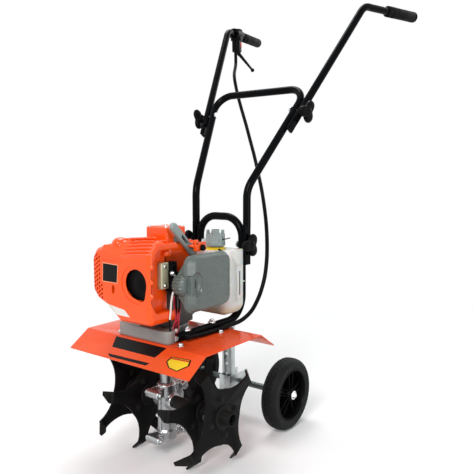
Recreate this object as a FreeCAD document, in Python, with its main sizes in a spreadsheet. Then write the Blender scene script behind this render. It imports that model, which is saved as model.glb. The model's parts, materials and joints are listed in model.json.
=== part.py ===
import FreeCAD, Part
import math
import os
import re
import Sketcher
from FreeCAD import Placement, Rotation, Vector

# A two-stroke garden tiller with a rotor of four tine stars, two transport wheels and a
# folding handlebar.  Millimetres.  +Z is up, -Y is the front, +X is the operator's left.
# The origin lies on the floor under the middle of the machine's box.

os.makedirs("parts", exist_ok=True)
doc = FreeCAD.newDocument("garden_tiller")

# ---------------------------------------------------------------- driving dimensions
# Lengths along Y are measured from the tine axis, to the rear, unless a note says otherwise.
SIZES = [
    ("tine_axis_y", -310.4, "Y of the tine axis and of the crankshaft"),
    ("tine_axis_z", 124.6, "height of the tine axis"),
    # deck
    ("deck_width", 360, ""),
    ("deck_thick", 2.5, ""),
    ("deck_top", 278, "height of the flat top"),
    ("deck_front", 73, "flat ahead of the tine axis"),
    ("deck_back", 120, "flat behind the tine axis"),
    ("flap_run", 52, "flap, measured level"),
    ("flap_drop", 35, "flap, measured down"),
    # engine base and drive
    ("base_left", 72, "from the middle"),
    ("base_right", 84, "from the middle"),
    ("base_front", 66, "front face ahead of the tine axis"),
    ("base_deep", 27, ""),
    ("base_high", 28, ""),
    ("drum_r", 52, "clutch drum housing"),
    ("neck_r", 15, "drive tube under the deck"),
    ("neck_flange_r", 36, ""),
    ("neck_flange_high", 9, ""),
    # gear case
    ("case_top", 166, ""),
    ("case_low", 31, ""),
    ("case_r", 18, "worm housing"),
    ("case_ring_r", 22, ""),
    ("case_ring_high", 26, ""),
    ("case_wheel_r", 34, "worm wheel housing"),
    ("case_wheel_half", 23, ""),
    ("case_rib", 37, "seam rib's edge from the axis"),
    ("case_rib_half", 3, ""),
    ("boss_r", 9, ""),
    ("boss_half", 15, ""),
    ("case_bolt_r", 4, ""),
    ("case_head_r", 6.8, "bolt heads of the gear case"),
    ("case_head_high", 5, ""),
    # rotor
    ("shaft_r", 11.5, ""),
    ("shaft_half", 150, ""),
    ("shaft_fit", 0.05, "running clearance on a radius"),
    ("slip", 0.15, "clearance on a radius between fixed parts"),
    ("hub_r", 15.5, ""),
    ("set_left_x", 163, "outer star of the left tine set, from the middle"),
    ("set_right_x", 110, "outer star of the right set, pinned one hole further in"),
    ("set_gap", 53, "between the two stars of a set"),
    ("set_inner", 22, "hub inboard of its inner star"),
    ("set_outer", 27, "hub outboard of its outer star"),
    ("set_pin", 27, "hub pin inboard of the outer star"),
    ("star_thick", 4, ""),
    ("star_flat", 60, "middle of a star's side from the axis"),
    ("star_shoulder", 68, "where a side turns into a blade, along the blade"),
    ("shoulder_wide", 20, "and across it"),
    ("blade_bend_r", 110, "radius at which a blade turns sideways"),
    ("blade_half", 13, "half width of a blade"),
    ("blade_sickle", 5, "a blade's lag at its bend"),
    ("blade_tip_outer", 38, "bent tip of an outer star's blade"),
    ("blade_tip_inner", 25, "bent tip of an inner star's blade"),
    ("blade_tip_angle", 44, ""),
    ("pin_r", 3, ""),
    ("pin_proud", 8, "pin beyond its hub, at its head"),
    ("pin_head_high", 4, ""),
    # wheels
    ("wheel_axis_y", 273, ""),
    ("wheel_r", 89, ""),
    ("wheel_width", 42, ""),
    ("wheel_x", 150, "middle of a wheel"),
    ("rim_r", 64, ""),
    ("rim_wall", 4, ""),
    ("rim_web", 7, ""),
    ("rim_hub_r", 15, ""),
    ("bead_inset", 6, "sidewall's start above the rim"),
    ("tread_drop", 9, "shoulder below the tread"),
    ("tread_chamfer", 2.5, ""),
    ("window_gap", 8, "rim window from the hub and from the rim's wall"),
    ("window_low", 5, "half width of a rim window at the hub"),
    ("window_high", 16, "and at the rim"),
    ("axle_r", 8, ""),
    ("nut_r", 11, ""),
    ("nut_long", 8, ""),
    ("collar_r", 13, "collar that locates a wheel"),
    ("collar_long", 5, ""),
    # drag channel and wheel bracket
    ("channel_y", 222, "front face of the channel"),
    ("channel_wide", 28, ""),
    ("channel_deep", 18, ""),
    ("channel_wall", 2.5, ""),
    ("channel_top", 262, ""),
    ("channel_low", 74, ""),
    ("channel_hole_r", 4, ""),
    ("channel_pitch", 26, ""),
    ("hanger_wide", 52, ""),
    ("hanger_thick", 4, ""),
    ("hanger_gap", 8, "hanger behind the neck's flange"),
    ("hanger_deep", 30, "its bolted foot"),
    ("hanger_below", 12, "its level run below the rear flap's edge"),
    ("hanger_down", 26, "its end plate below the level run"),
    ("hanger_up", 22, "and above it"),
    ("fork_high", 46, ""),
    ("fork_wall", 3, ""),
    ("fork_below", 15, "lower edge below the axle"),
    ("fork_lap", 8, "its lap ahead of the channel's face"),
    ("fork_tail", 16, "its cheeks beyond the axle"),
    # frame and handlebar
    ("tube_r", 9.5, ""),
    ("tube_wall", 1.5, ""),
    ("frame_x", 66, "middle of a frame leg"),
    ("frame_y", 200, "plane of the frame's arch"),
    ("frame_front", -38, "front end of the lower run"),
    ("frame_low_bend", 55, ""),
    ("frame_top", 532, "middle of the arch's top bar"),
    ("frame_top_bend", 50, ""),
    ("lap_gap", 0.3, "between lapped tube ends"),
    ("flat_thick", 9, "flattened tube end"),
    ("flat_wide", 24, ""),
    ("low_pivot_z", 466, ""),
    ("low_end_z", 418, ""),
    ("flat_top_z", 515, ""),
    ("leg_bend_z", 600, ""),
    ("leg_bend_r", 70, ""),
    ("leg_out", 0.264, "sideways lean per unit of height"),
    ("leg_back", 0.68, "rearward lean per unit of height"),
    ("high_pivot_z", 793, ""),
    ("cross_z", 850, ""),
    ("cross_bend", 42, ""),
    ("handle_tail", 60, "handle's lower end below its pivot"),
    ("handle_flat", 36, "length of its flattened end"),
    ("handle_top_z", 1068, ""),
    ("handle_bend", 38, ""),
    ("grip_run_x", 46, ""),
    ("grip_run_y", 222, ""),
    ("grip_run_z", 11, ""),
    ("grip_r", 14.5, ""),
    ("grip_long", 127, ""),
    ("bolt_r", 4, ""),
    ("bolt_head_r", 8, ""),
    ("bolt_head_high", 4, ""),
    ("bolt_grip", 12, "bolt's length inside its knob"),
    ("knob_hub_r", 10, ""),
    ("knob_hub_high", 16, ""),
    ("knob_lobe", 19, "lobe's middle from the knob's axis"),
    ("knob_lobe_r", 5.5, ""),
    ("knob_lobe_high", 11, ""),
    ("knob_foot", 5, "lobes above the knob's seat"),
    ("frame_bolt_r", 6.5, ""),
    ("frame_bolt_high", 5, ""),
    ("frame_bolt_pitch", 84, ""),
    # engine
    ("crank_half", 40, "crankcase block, half width"),
    ("crank_front", 42, ""),
    ("crank_back", 48, ""),
    ("crank_top", 424, ""),
    ("cyl_front", 92, ""),
    ("cyl_half", 37, ""),
    ("cyl_low", 362, ""),
    ("cyl_top", 452, ""),
    ("fan_r", 70, ""),
    ("fan_flat", 48, "the carburettor side of the drum"),
    ("fan_top", 486, ""),
    ("starter_side", 63, ""),
    ("starter_shift", 5, "its middle left of the crankshaft"),
    ("starter_round", 6, ""),
    ("rope_r", 8, "rope guide"),
    ("starter_top", 521, ""),
    ("starter_gap", 14, "pull bar from the housing"),
    ("starter_bar_long", 98, ""),
    ("starter_bar_wide", 23, ""),
    ("starter_bar_thick", 12, ""),
    ("starter_bar_z", 494, "middle of the pull bar"),
    ("shroud_front", 110, ""),
    ("shroud_back", 22, ""),
    ("shroud_left", 66, ""),
    ("shroud_right", 116, ""),
    ("shroud_low", 322, ""),
    ("shroud_top", 500, ""),
    ("shroud_wall", 3, ""),
    ("shroud_round", 12, ""),
    ("window_front", 104, "side window's front edge"),
    ("window_base", 350, "side window's lower edge"),
    ("window_top", 480, ""),
    ("window_round", 20, ""),
    ("plug_x", 4, "spark plug's middle"),
    ("plug_z", 412, ""),
    ("plug_r", 12, "its boot"),
    ("plug_gap", 4, "boot short of the shroud's face"),
    ("drop_r", 23, "opening over the boot"),
    ("drop_tail_x", 15, "the opening's tail beside the plug"),
    ("drop_tail_z", 35, "and below it"),
    ("drop_tail_r", 9, ""),
    ("silencer_front", 66, ""),
    ("silencer_back", 24, ""),
    ("silencer_left", 40, ""),
    ("silencer_right", 104, ""),
    ("silencer_low", 374, ""),
    ("silencer_top", 421, ""),
    ("silencer_round", 8, ""),
    ("carb_front", 20, ""),
    ("carb_back", 26, ""),
    ("carb_low", 372, ""),
    ("carb_top", 416, ""),
    ("carb_round", 5, ""),
    ("filter_x", 70, "inner face of the filter's base"),
    ("filter_base", 14, ""),
    ("filter_cover", 28, ""),
    ("filter_front", 44, ""),
    ("filter_back", 98, ""),
    ("filter_low", 344, ""),
    ("filter_top", 466, ""),
    ("filter_round", 18, ""),
    ("filter_soft", 7, "its outer face's edge"),
    ("knob_r", 15, ""),
    ("knob_high", 12, ""),
    ("knob_in", 12, "its middle from the base's inner face"),
    ("scoop_r", 23, "hollow for the fingers at the knob"),
    ("scoop_out", 3, "its middle off the cover's corner"),
    ("tank_left", 90, ""),
    ("tank_right", 32, ""),
    ("tank_front", 104, ""),
    ("tank_back_gap", 5.5, "to the frame's arch"),
    ("tank_low_gap", 9, "to the frame's lower run"),
    ("tank_top", 458, ""),
    ("tank_round", 20, ""),
    ("tank_heel", 24, ""),
    ("neck_high", 8, "filler neck"),
    ("neck_inset", 4, "filler neck inside the cap's radius"),
    ("cap_r", 19, ""),
    ("cap_high", 26, ""),
    ("cap_x", 30, ""),
    ("cap_y", 142, ""),
    ("cradle_half", 32, ""),
    ("cradle_up", 20, "above the tank's foot"),
    ("cradle_high", 42, ""),
    # throttle control
    ("control_start", 42, "from the handle's bend, along the grip"),
    ("control_long", 38, ""),
    ("control_drop", 50, "below the tube's middle"),
    ("control_wall", 5, "around the tube"),
    ("control_up", 4, "its box above the tube"),
    ("control_deep", 27, ""),
    ("control_neck", 20, "width of its lower half"),
    ("control_neck_long", 26, ""),
    ("switch_long", 15, ""),
    ("switch_thick", 4, ""),
    ("switch_wide", 9, ""),
    ("switch_drop", 13, "below the tube"),
    ("lever_r", 3.5, ""),
    ("lever_ball_r", 6.5, ""),
    ("lever_back", 72, "lever's end behind its hinge, along the grip"),
    ("lever_down", 42, "and below it"),
    ("lever_in", 16, "and inward of it"),
    ("lever_hinge", 12, "straight part at the hinge"),
    # control cable
    ("loom_r", 5, ""),
]
sheet = doc.addObject("Spreadsheet::Sheet", "Sizes")
for row, (alias, value, note) in enumerate(SIZES, start=1):
    sheet.set(f"A{row}", alias)
    sheet.set(f"B{row}", str(value))
    sheet.set(f"C{row}", note)
    sheet.setAlias(f"B{row}", alias)
doc.recompute()
ALIASES = {alias for alias, value, note in SIZES}


def expr(text):
    """Name the sheet in front of each of its aliases."""
    return re.sub(r"[a-z][a-z_]*", lambda m: "Sizes." + m.group() if m.group() in ALIASES else m.group(),
                  str(text))


def size(text):
    """Value of an expression in the sheet's aliases."""
    return float(sheet.evalExpression(expr(text)))


def bind(thing, **expressions):
    for name, text in expressions.items():
        thing.setExpression(name, expr(text))
    return thing


def place(thing, x=0, y=0, z=0):
    """Put an object at a place given by three expressions."""
    for axis, text in (("x", x), ("y", y), ("z", z)):
        thing.setExpression("Placement.Base." + axis, expr(text))
    return thing


# ---------------------------------------------------------------- primitives
nodes = []


def node(thing, label):
    """Mark an object as a finished sub-part."""
    thing.Label = label
    nodes.append(thing)
    return thing


def box(name, x, y, z):
    """Block between two corners; each argument is a pair of expressions."""
    block = doc.addObject("Part::Box", name)
    bind(block, Length=f"({x[1]}) - ({x[0]})", Width=f"({y[1]}) - ({y[0]})", Height=f"({z[1]}) - ({z[0]})")
    return place(block, x[0], y[0], z[0])


TURNS = {"x": Rotation(Vector(0, 1, 0), 90), "y": Rotation(Vector(1, 0, 0), -90), "z": Rotation()}


def rod(name, axis, radius, start, long, x=0, y=0, z=0):
    """Cylinder along a frame axis, from start over its length, through the given centre."""
    bar = doc.addObject("Part::Cylinder", name)
    bar.Placement = Placement(Vector(), TURNS[axis])
    bind(bar, Radius=radius, Height=long)
    centre = {"x": x, "y": y, "z": z}
    centre[axis] = start
    return place(bar, centre["x"], centre["y"], centre["z"])


def fuse(name, *things):
    union = doc.addObject("Part::MultiFuse", name)
    union.Shapes = list(things)
    union.Refine = True
    return union


def cut(name, base, tool):
    result = doc.addObject("Part::Cut", name)
    result.Base = base
    result.Tool = tool
    return result


def round_edges(name, base, radius, chosen):
    """Fillet the edges for which chosen(edge) is true."""
    doc.recompute()
    result = doc.addObject("Part::Fillet", name)
    result.Base = base
    value = size(radius)
    result.Edges = [(i, value, value) for i, e in enumerate(base.Shape.Edges, start=1) if chosen(e)]
    return result


def along(axis):
    """Edge test: straight and parallel to a frame axis."""
    pick = {"x": 0, "y": 1, "z": 2}[axis]

    def test(edge):
        if not isinstance(edge.Curve, Part.Line):
            return False
        return abs(abs(edge.Curve.Direction[pick]) - 1) < 1e-6
    return test


def feature(label, shape):
    """Sub-part whose shape comes from Part's own functions."""
    thing = doc.addObject("Part::Feature", label)
    thing.Shape = shape
    return node(thing, label)


# ---------------------------------------------------------------- PartDesign helpers
def body(name):
    return doc.addObject("PartDesign::Body", name)


def sketch(owner, name, role):
    drawing = owner.newObject("Sketcher::SketchObject", name)
    plane = [f for f in owner.Origin.OriginFeatures if f.Role == role][0]
    drawing.AttachmentSupport = [(plane, "")]
    drawing.MapMode = "FlatFace"
    return drawing


def outline(drawing, corners):
    """Closed outline of straight lines, each corner held by two expressions."""
    values = [Vector(size(x), size(y), 0) for x, y in corners]
    count = len(corners)
    first = drawing.GeometryCount
    for i in range(count):
        drawing.addGeometry(Part.LineSegment(values[i], values[(i + 1) % count]))
    for i in range(count):
        drawing.addConstraint(Sketcher.Constraint("Coincident", first + i, 2, first + (i + 1) % count, 1))
    for i, (x, y) in enumerate(corners):
        for kind, text, value in (("DistanceX", x, values[i].x), ("DistanceY", y, values[i].y)):
            held = drawing.addConstraint(Sketcher.Constraint(kind, -1, 1, first + i, 1, value))
            drawing.setExpression(f"Constraints[{held}]", expr(text))
    return drawing


def ring(drawing, radius, x=0, y=0):
    """Circle whose centre and radius are expressions."""
    circle = drawing.addGeometry(Part.Circle(Vector(size(x), size(y), 0), Vector(0, 0, 1), size(radius)))
    held = drawing.addConstraint(Sketcher.Constraint("Radius", circle, size(radius)))
    drawing.setExpression(f"Constraints[{held}]", expr(radius))
    for kind, text in (("DistanceX", x), ("DistanceY", y)):
        held = drawing.addConstraint(Sketcher.Constraint(kind, -1, 1, circle, 3, size(text)))
        drawing.setExpression(f"Constraints[{held}]", expr(text))
    return drawing


def pad(owner, name, drawing, long):
    """Pad to both sides of its sketch."""
    step = owner.newObject("PartDesign::Pad", name)
    step.Profile = drawing
    step.SideType = "Symmetric"
    bind(step, Length=long)
    return step


def pocket(owner, name, drawing, long):
    """Pocket to both sides of its sketch."""
    step = owner.newObject("PartDesign::Pocket", name)
    step.Profile = drawing
    step.SideType = "Symmetric"
    bind(step, Length=long)
    return step


def revolve(owner, name, drawing, role):
    step = owner.newObject("PartDesign::Revolution", name)
    step.Profile = drawing
    step.ReferenceAxis = ([f for f in owner.Origin.OriginFeatures if f.Role == role][0], [""])
    step.Angle = 360
    return step


def pattern(owner, name, step, role, count):
    copies = owner.newObject("PartDesign::PolarPattern", name)
    copies.Originals = [step]
    copies.Axis = ([f for f in owner.Origin.OriginFeatures if f.Role == role][0], [""])
    copies.Angle = 360
    copies.Occurrences = count
    owner.Tip = copies
    return copies


# ---------------------------------------------------------------- bent tubes
def bent_path(points, radii):
    """Wire of straight runs joined by tangent arcs."""
    edges = []
    here = points[0]
    for before, corner, after, radius in zip(points, points[1:], points[2:], radii):
        come = (corner - before).normalize()
        leave = (after - corner).normalize()
        turn = come.getAngle(leave)
        back = radius * math.tan(turn / 2)
        start = corner - come * back
        end = corner + leave * back
        inward = (leave - come).normalize()
        middle = corner + inward * (radius / math.cos(turn / 2) - radius)
        edges.append(Part.LineSegment(here, start).toShape())
        edges.append(Part.Arc(start, middle, end).toShape())
        here = end
    edges.append(Part.LineSegment(here, points[-1]).toShape())
    return Part.Wire(edges)


def round_bar(points, radii, radius):
    path = bent_path(points, radii)
    run = (points[1] - points[0]).normalize()
    circle = Part.Wire([Part.Circle(points[0], run, radius).toShape()])
    return path.makePipeShell([circle], True, False)


def tube(points, radii, radius, wall):
    return round_bar(points, radii, radius).cut(round_bar(points, radii, radius - wall))


def long_block(centre, run, side, long, thick, wide):
    """Block with rounded long edges: long along run, thick along side."""
    third = run.cross(side)
    shape = Part.makeBox(thick, wide, long, Vector(-thick / 2, -wide / 2, 0))
    edges = [e for e in shape.Edges if abs(e.Curve.Direction.z) > 0.9]
    shape = shape.makeFillet(min(thick, wide) * 0.42, edges)
    matrix = FreeCAD.Matrix(side.x, third.x * -1, run.x, centre.x, side.y, third.y * -1, run.y, centre.y,
                            side.z, third.z * -1, run.z, centre.z, 0, 0, 0, 1)
    return shape.transformGeometry(matrix)


SIDES = (("left", 1), ("right", -1))
TINE_Y = size("tine_axis_y")


# ================================================================ deck and drive
def make_deck():
    flap = "sqrt(flap_run ^ 2 + flap_drop ^ 2)"
    inset = f"deck_thick * ({flap} - flap_run) / flap_drop"
    end_y = f"deck_thick * flap_drop / {flap}"
    end_z = f"flap_drop + deck_thick * flap_run / {flap}"
    plate = body("Deck")
    section = outline(sketch(plate, "DeckSection", "YZ_Plane"), [
        ("-deck_front - flap_run", "-flap_drop"),
        ("-deck_front", "0"),
        ("deck_back", "0"),
        ("deck_back + flap_run", "-flap_drop"),
        (f"deck_back + flap_run - {end_y}", f"-({end_z})"),
        (f"deck_back - {inset}", "-deck_thick"),
        (f"-deck_front + {inset}", "-deck_thick"),
        (f"-deck_front - flap_run + {end_y}", f"-({end_z})"),
    ])
    pad(plate, "DeckPad", section, "deck_width")
    hole = ring(sketch(plate, "DeckHole", "XY_Plane"), "neck_r")
    pocket(plate, "DeckPocket", hole, "4 * deck_thick")
    return node(place(plate, 0, "tine_axis_y", "deck_top"), "deck_plate")


def make_engine_base():
    bar = box("BaseBar", ("-base_right", "base_left"),
              ("tine_axis_y - base_front", "tine_axis_y - base_front + base_deep"),
              ("deck_top", "deck_top + base_high"))
    bar = round_edges("BaseBarRound", bar, "base_deep * 0.4", along("z"))
    drum = rod("BaseDrum", "z", "drum_r", "deck_top", "base_high", 0, "tine_axis_y")
    return node(fuse("EngineBase", bar, drum), "engine_base")


def make_neck():
    pipe = rod("NeckPipe", "z", "neck_r", "case_top", "deck_top - deck_thick - case_top", 0, "tine_axis_y")
    flange = rod("NeckFlange", "z", "neck_flange_r", "deck_top - deck_thick - neck_flange_high",
                 "neck_flange_high", 0, "tine_axis_y")
    return node(fuse("Neck", pipe, flange), "drive_neck")


CASE_BOSSES = [(-40, 148), (-40, 46), (38, 44), (44, 130)]


def make_gear_case():
    """Cast housing of the worm drive, split into halves on the machine's middle plane."""
    axis = Vector(0, TINE_Y, size("tine_axis_z"))
    up = Vector(0, 0, 1)
    low = size("case_low")
    top = size("case_top")
    ring_high = size("case_ring_high")
    ring_r = size("case_ring_r")
    side = Vector(1, 0, 0)
    half = size("case_wheel_half")
    foot = Vector(0, TINE_Y, low)
    case = Part.makeCylinder(size("case_r"), top - low, foot, up)
    case = case.fuse(Part.makeCylinder(ring_r, ring_high, foot, up))
    case = case.fuse(Part.makeCylinder(ring_r, ring_high, Vector(0, TINE_Y, top - ring_high), up))
    case = case.fuse(Part.makeCylinder(size("case_wheel_r"), 2 * half, axis - side * half, side))
    rib = size("case_rib")
    rib_half = size("case_rib_half")
    case = case.fuse(Part.makeBox(2 * rib_half, 2 * rib, top - low, Vector(-rib_half, TINE_Y - rib, low)))
    boss_half = size("boss_half")
    for y, z in CASE_BOSSES:
        seat = Vector(-boss_half, TINE_Y + y, z)
        case = case.fuse(Part.makeCylinder(size("boss_r"), 2 * boss_half, seat, side))
    for y, z in CASE_BOSSES:
        seat = Vector(-boss_half, TINE_Y + y, z)
        case = case.cut(Part.makeCylinder(size("case_bolt_r"), 2 * boss_half, seat, side))
    bore = size("shaft_r + shaft_fit")
    case = case.cut(Part.makeCylinder(bore, 2 * half, axis - side * half, side))
    case = case.removeSplitter()
    reach = 2 * top
    for name, sign in SIDES:
        corner = Vector(0 if sign > 0 else -reach, TINE_Y - reach, 0)
        feature(f"gear_case_{name}", case.common(Part.makeBox(reach, 2 * reach, reach, corner)))
    bolts = []
    for y, z in CASE_BOSSES:
        shank = Part.makeCylinder(size("case_bolt_r"), 2 * boss_half, Vector(-boss_half, TINE_Y + y, z), side)
        for sign in (1, -1):
            end = Vector(sign * boss_half, TINE_Y + y, z)
            head = Part.makeCylinder(size("case_head_r"), size("case_head_high"), end, side * sign)
            shank = shank.fuse(head)
        bolts.append(shank)
    feature("gear_case_bolts", Part.makeCompound(bolts))


# ================================================================ rotor
# name, side, place, turn of the first blade in degrees, side to which the tips bend
STARS = [
    ("outer_left", 1, "set_left_x", 33.4, -1),
    ("inner_left", 1, "set_left_x - set_gap", 80.5, -1),
    ("inner_right", -1, "set_right_x - set_gap", 80.5, -1),
    ("outer_right", -1, "set_right_x", 33.4, 1),
]


def make_star(tip_long, bend):
    """Star in the XY plane with its first blade along +X and its tips bent to +Z or -Z."""
    thick = size("star_thick")
    near = size("star_flat") * math.sqrt(0.5)
    bend_r = size("blade_bend_r")
    half = size("blade_half")
    sag = size("blade_sickle")
    shoulder = size("star_shoulder")
    wide = size("shoulder_wide")
    quarter = [
        Part.Arc(Vector(near, near, 0), Vector(shoulder, wide, 0), Vector(bend_r, half - sag, 0)).toShape(),
        Part.makeLine(Vector(bend_r, half - sag, 0), Vector(bend_r, -half - sag, 0)),
        Part.Arc(Vector(bend_r, -half - sag, 0), Vector(shoulder, -wide - sag / 2, 0),
                 Vector(near, -near, 0)).toShape(),
    ]
    edges = []
    for turn in range(4):
        for edge in quarter:
            copy = edge.copy()
            copy.rotate(Vector(), Vector(0, 0, 1), 90 * turn)
            edges.append(copy)
    star = Part.Face(Part.Wire(Part.__sortEdges__(edges))).extrude(Vector(0, 0, thick))
    # tip: parallel at its root, then tapering to one side
    corners = [Vector(0, half - sag, 0), Vector(tip_long * 0.4, half - sag - 1, 0),
               Vector(tip_long, -half * 0.4 - sag, 0), Vector(tip_long, -half - sag, 0),
               Vector(0, -half - sag, 0)]
    tip = Part.Face(Part.makePolygon(corners + corners[:1])).extrude(Vector(0, 0, thick))
    tip.rotate(Vector(), Vector(0, 1, 0), -size("blade_tip_angle"))
    tip.translate(Vector(bend_r, 0, 0))
    elbow = Part.makeCylinder(thick, 2 * half, Vector(bend_r, -half - sag, thick), Vector(0, 1, 0))
    elbow = elbow.common(Part.makeBox(2 * thick, 2 * half, thick, Vector(bend_r - thick, -half - sag, 0)))
    tip = tip.fuse(elbow)
    for turn in range(4):
        copy = tip.copy()
        copy.rotate(Vector(), Vector(0, 0, 1), 90 * turn)
        star = star.fuse(copy)
    star = star.cut(Part.makeCylinder(size("hub_r + slip"), thick)).removeSplitter()
    if bend < 0:
        star = star.mirror(Vector(0, 0, thick / 2), Vector(0, 0, 1))
    return star


def make_rotor():
    """Shaft with two hole positions a side, and on each side a set of two stars on a hub."""
    z = size("tine_axis_z")
    axis = Vector(0, TINE_Y, z)
    side = Vector(1, 0, 0)
    back = Vector(0, 1, 0)
    thick = size("star_thick")
    hub_r = size("hub_r")
    pin_r = size("pin_r")
    head = size("pin_head_high")
    proud = size("pin_proud")
    shaft_half = size("shaft_half")

    def pin_hole(x):
        return Part.makeCylinder(size("pin_r + slip"), 4 * hub_r, axis + side * x - back * 2 * hub_r, back)
    shaft = Part.makeCylinder(size("shaft_r"), 2 * shaft_half, axis - side * shaft_half, side)
    for sign in (1, -1):
        for name, other in SIDES:
            shaft = shaft.cut(pin_hole(sign * size(f"set_{name}_x - set_pin")))
    feature("tine_shaft", shaft)
    for name, sign in SIDES:
        start = axis + side * sign * size(f"set_{name}_x - set_gap - set_inner")
        long = size("set_inner + set_gap + set_outer")
        pin_x = sign * size(f"set_{name}_x - set_pin")
        hub = Part.makeCylinder(hub_r, long, start, side * sign)
        hub = hub.cut(Part.makeCylinder(size("shaft_r + shaft_fit"), long, start, side * sign))
        feature(f"tine_hub_{name}", hub.cut(pin_hole(pin_x)))
        front = axis + side * pin_x - back * (hub_r + proud)
        pin = Part.makeCylinder(pin_r, 2 * hub_r + proud + head, front, back)
        pin = pin.fuse(Part.makeCylinder(2 * pin_r, head, front, back * -1))
        feature(f"hub_pin_{name}", pin)
    for name, sign, where, phase, bend in STARS:
        star = make_star(size("blade_tip_" + name.split("_")[0]), bend)
        # turn the plate's axis from Z to X, then to its phase about X
        star.Placement = Placement(Vector(sign * size(where) - thick / 2, TINE_Y, z),
                                   Rotation(Vector(1, 0, 0), phase).multiply(
                                       Rotation(Vector(1, 1, 1), 120)))
        feature(f"tine_star_{name}", star)


# ================================================================ wheels
def make_wheels():
    for name, sign in SIDES:
        tyre = body(f"Tyre{name}")
        shape = outline(sketch(tyre, f"TyreSection{name}", "XY_Plane"), [
            ("-wheel_width * 0.42", "rim_r"),
            ("-wheel_width / 2", "rim_r + bead_inset"),
            ("-wheel_width / 2", "wheel_r - tread_drop"),
            ("-wheel_width * 0.40", "wheel_r - tread_chamfer"),
            ("-wheel_width * 0.22", "wheel_r"),
            ("wheel_width * 0.22", "wheel_r"),
            ("wheel_width * 0.40", "wheel_r - tread_chamfer"),
            ("wheel_width / 2", "wheel_r - tread_drop"),
            ("wheel_width / 2", "rim_r + bead_inset"),
            ("wheel_width * 0.42", "rim_r"),
        ])
        revolve(tyre, f"TyreTurn{name}", shape, "X_Axis")
        node(place(tyre, f"{sign} * wheel_x", "tine_axis_y + wheel_axis_y", "wheel_r"), f"tyre_{name}")
        rim = body(f"Rim{name}")
        bore = "axle_r + shaft_fit"
        shape = outline(sketch(rim, f"RimSection{name}", "XY_Plane"), [
            ("-wheel_width / 2 + 1", bore),
            ("wheel_width / 2 - 1", bore),
            ("wheel_width / 2 - 1", "rim_hub_r"),
            ("rim_web / 2", "rim_hub_r + 2"),
            ("rim_web / 2", "rim_r - rim_wall"),
            ("wheel_width * 0.42", "rim_r - rim_wall"),
            ("wheel_width * 0.42", "rim_r"),
            ("-wheel_width * 0.42", "rim_r"),
            ("-wheel_width * 0.42", "rim_r - rim_wall"),
            ("-rim_web / 2", "rim_r - rim_wall"),
            ("-rim_web / 2", "rim_hub_r + 2"),
            ("-wheel_width / 2 + 1", "rim_hub_r"),
        ])
        revolve(rim, f"RimTurn{name}", shape, "X_Axis")
        window = outline(sketch(rim, f"RimWindow{name}", "YZ_Plane"), [
            ("-window_low", "rim_hub_r + window_gap"),
            ("window_low", "rim_hub_r + window_gap"),
            ("window_high", "rim_r - rim_wall - window_gap"),
            ("-window_high", "rim_r - rim_wall - window_gap"),
        ])
        step = pocket(rim, f"RimPocket{name}", window, "2 * rim_web")
        pattern(rim, f"RimPockets{name}", step, "X_Axis", 6)
        node(place(rim, f"{sign} * wheel_x", "tine_axis_y + wheel_axis_y", "wheel_r"), f"rim_{name}")
    half = "wheel_x + wheel_width / 2"
    y = "tine_axis_y + wheel_axis_y"
    axle = rod("Axle", "x", "axle_r", f"-({half})", f"2 * ({half})", 0, y, "wheel_r")
    collars = []
    for name, sign in SIDES:
        inner = f"{sign} * (wheel_x - wheel_width / 2 + 1 - lap_gap)"
        start = f"({inner}) - collar_long" if sign > 0 else inner
        collars.append(rod(f"Collar{name}", "x", "collar_r", start, "collar_long", 0, y, "wheel_r"))
    node(fuse("AxleSet", axle, *collars), "wheel_axle")
    for name, sign in SIDES:
        start = half if sign > 0 else f"-({half}) - nut_long"
        node(rod(f"Nut{name}", "x", "nut_r", start, "nut_long", 0, y, "wheel_r"), f"axle_nut_{name}")


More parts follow.
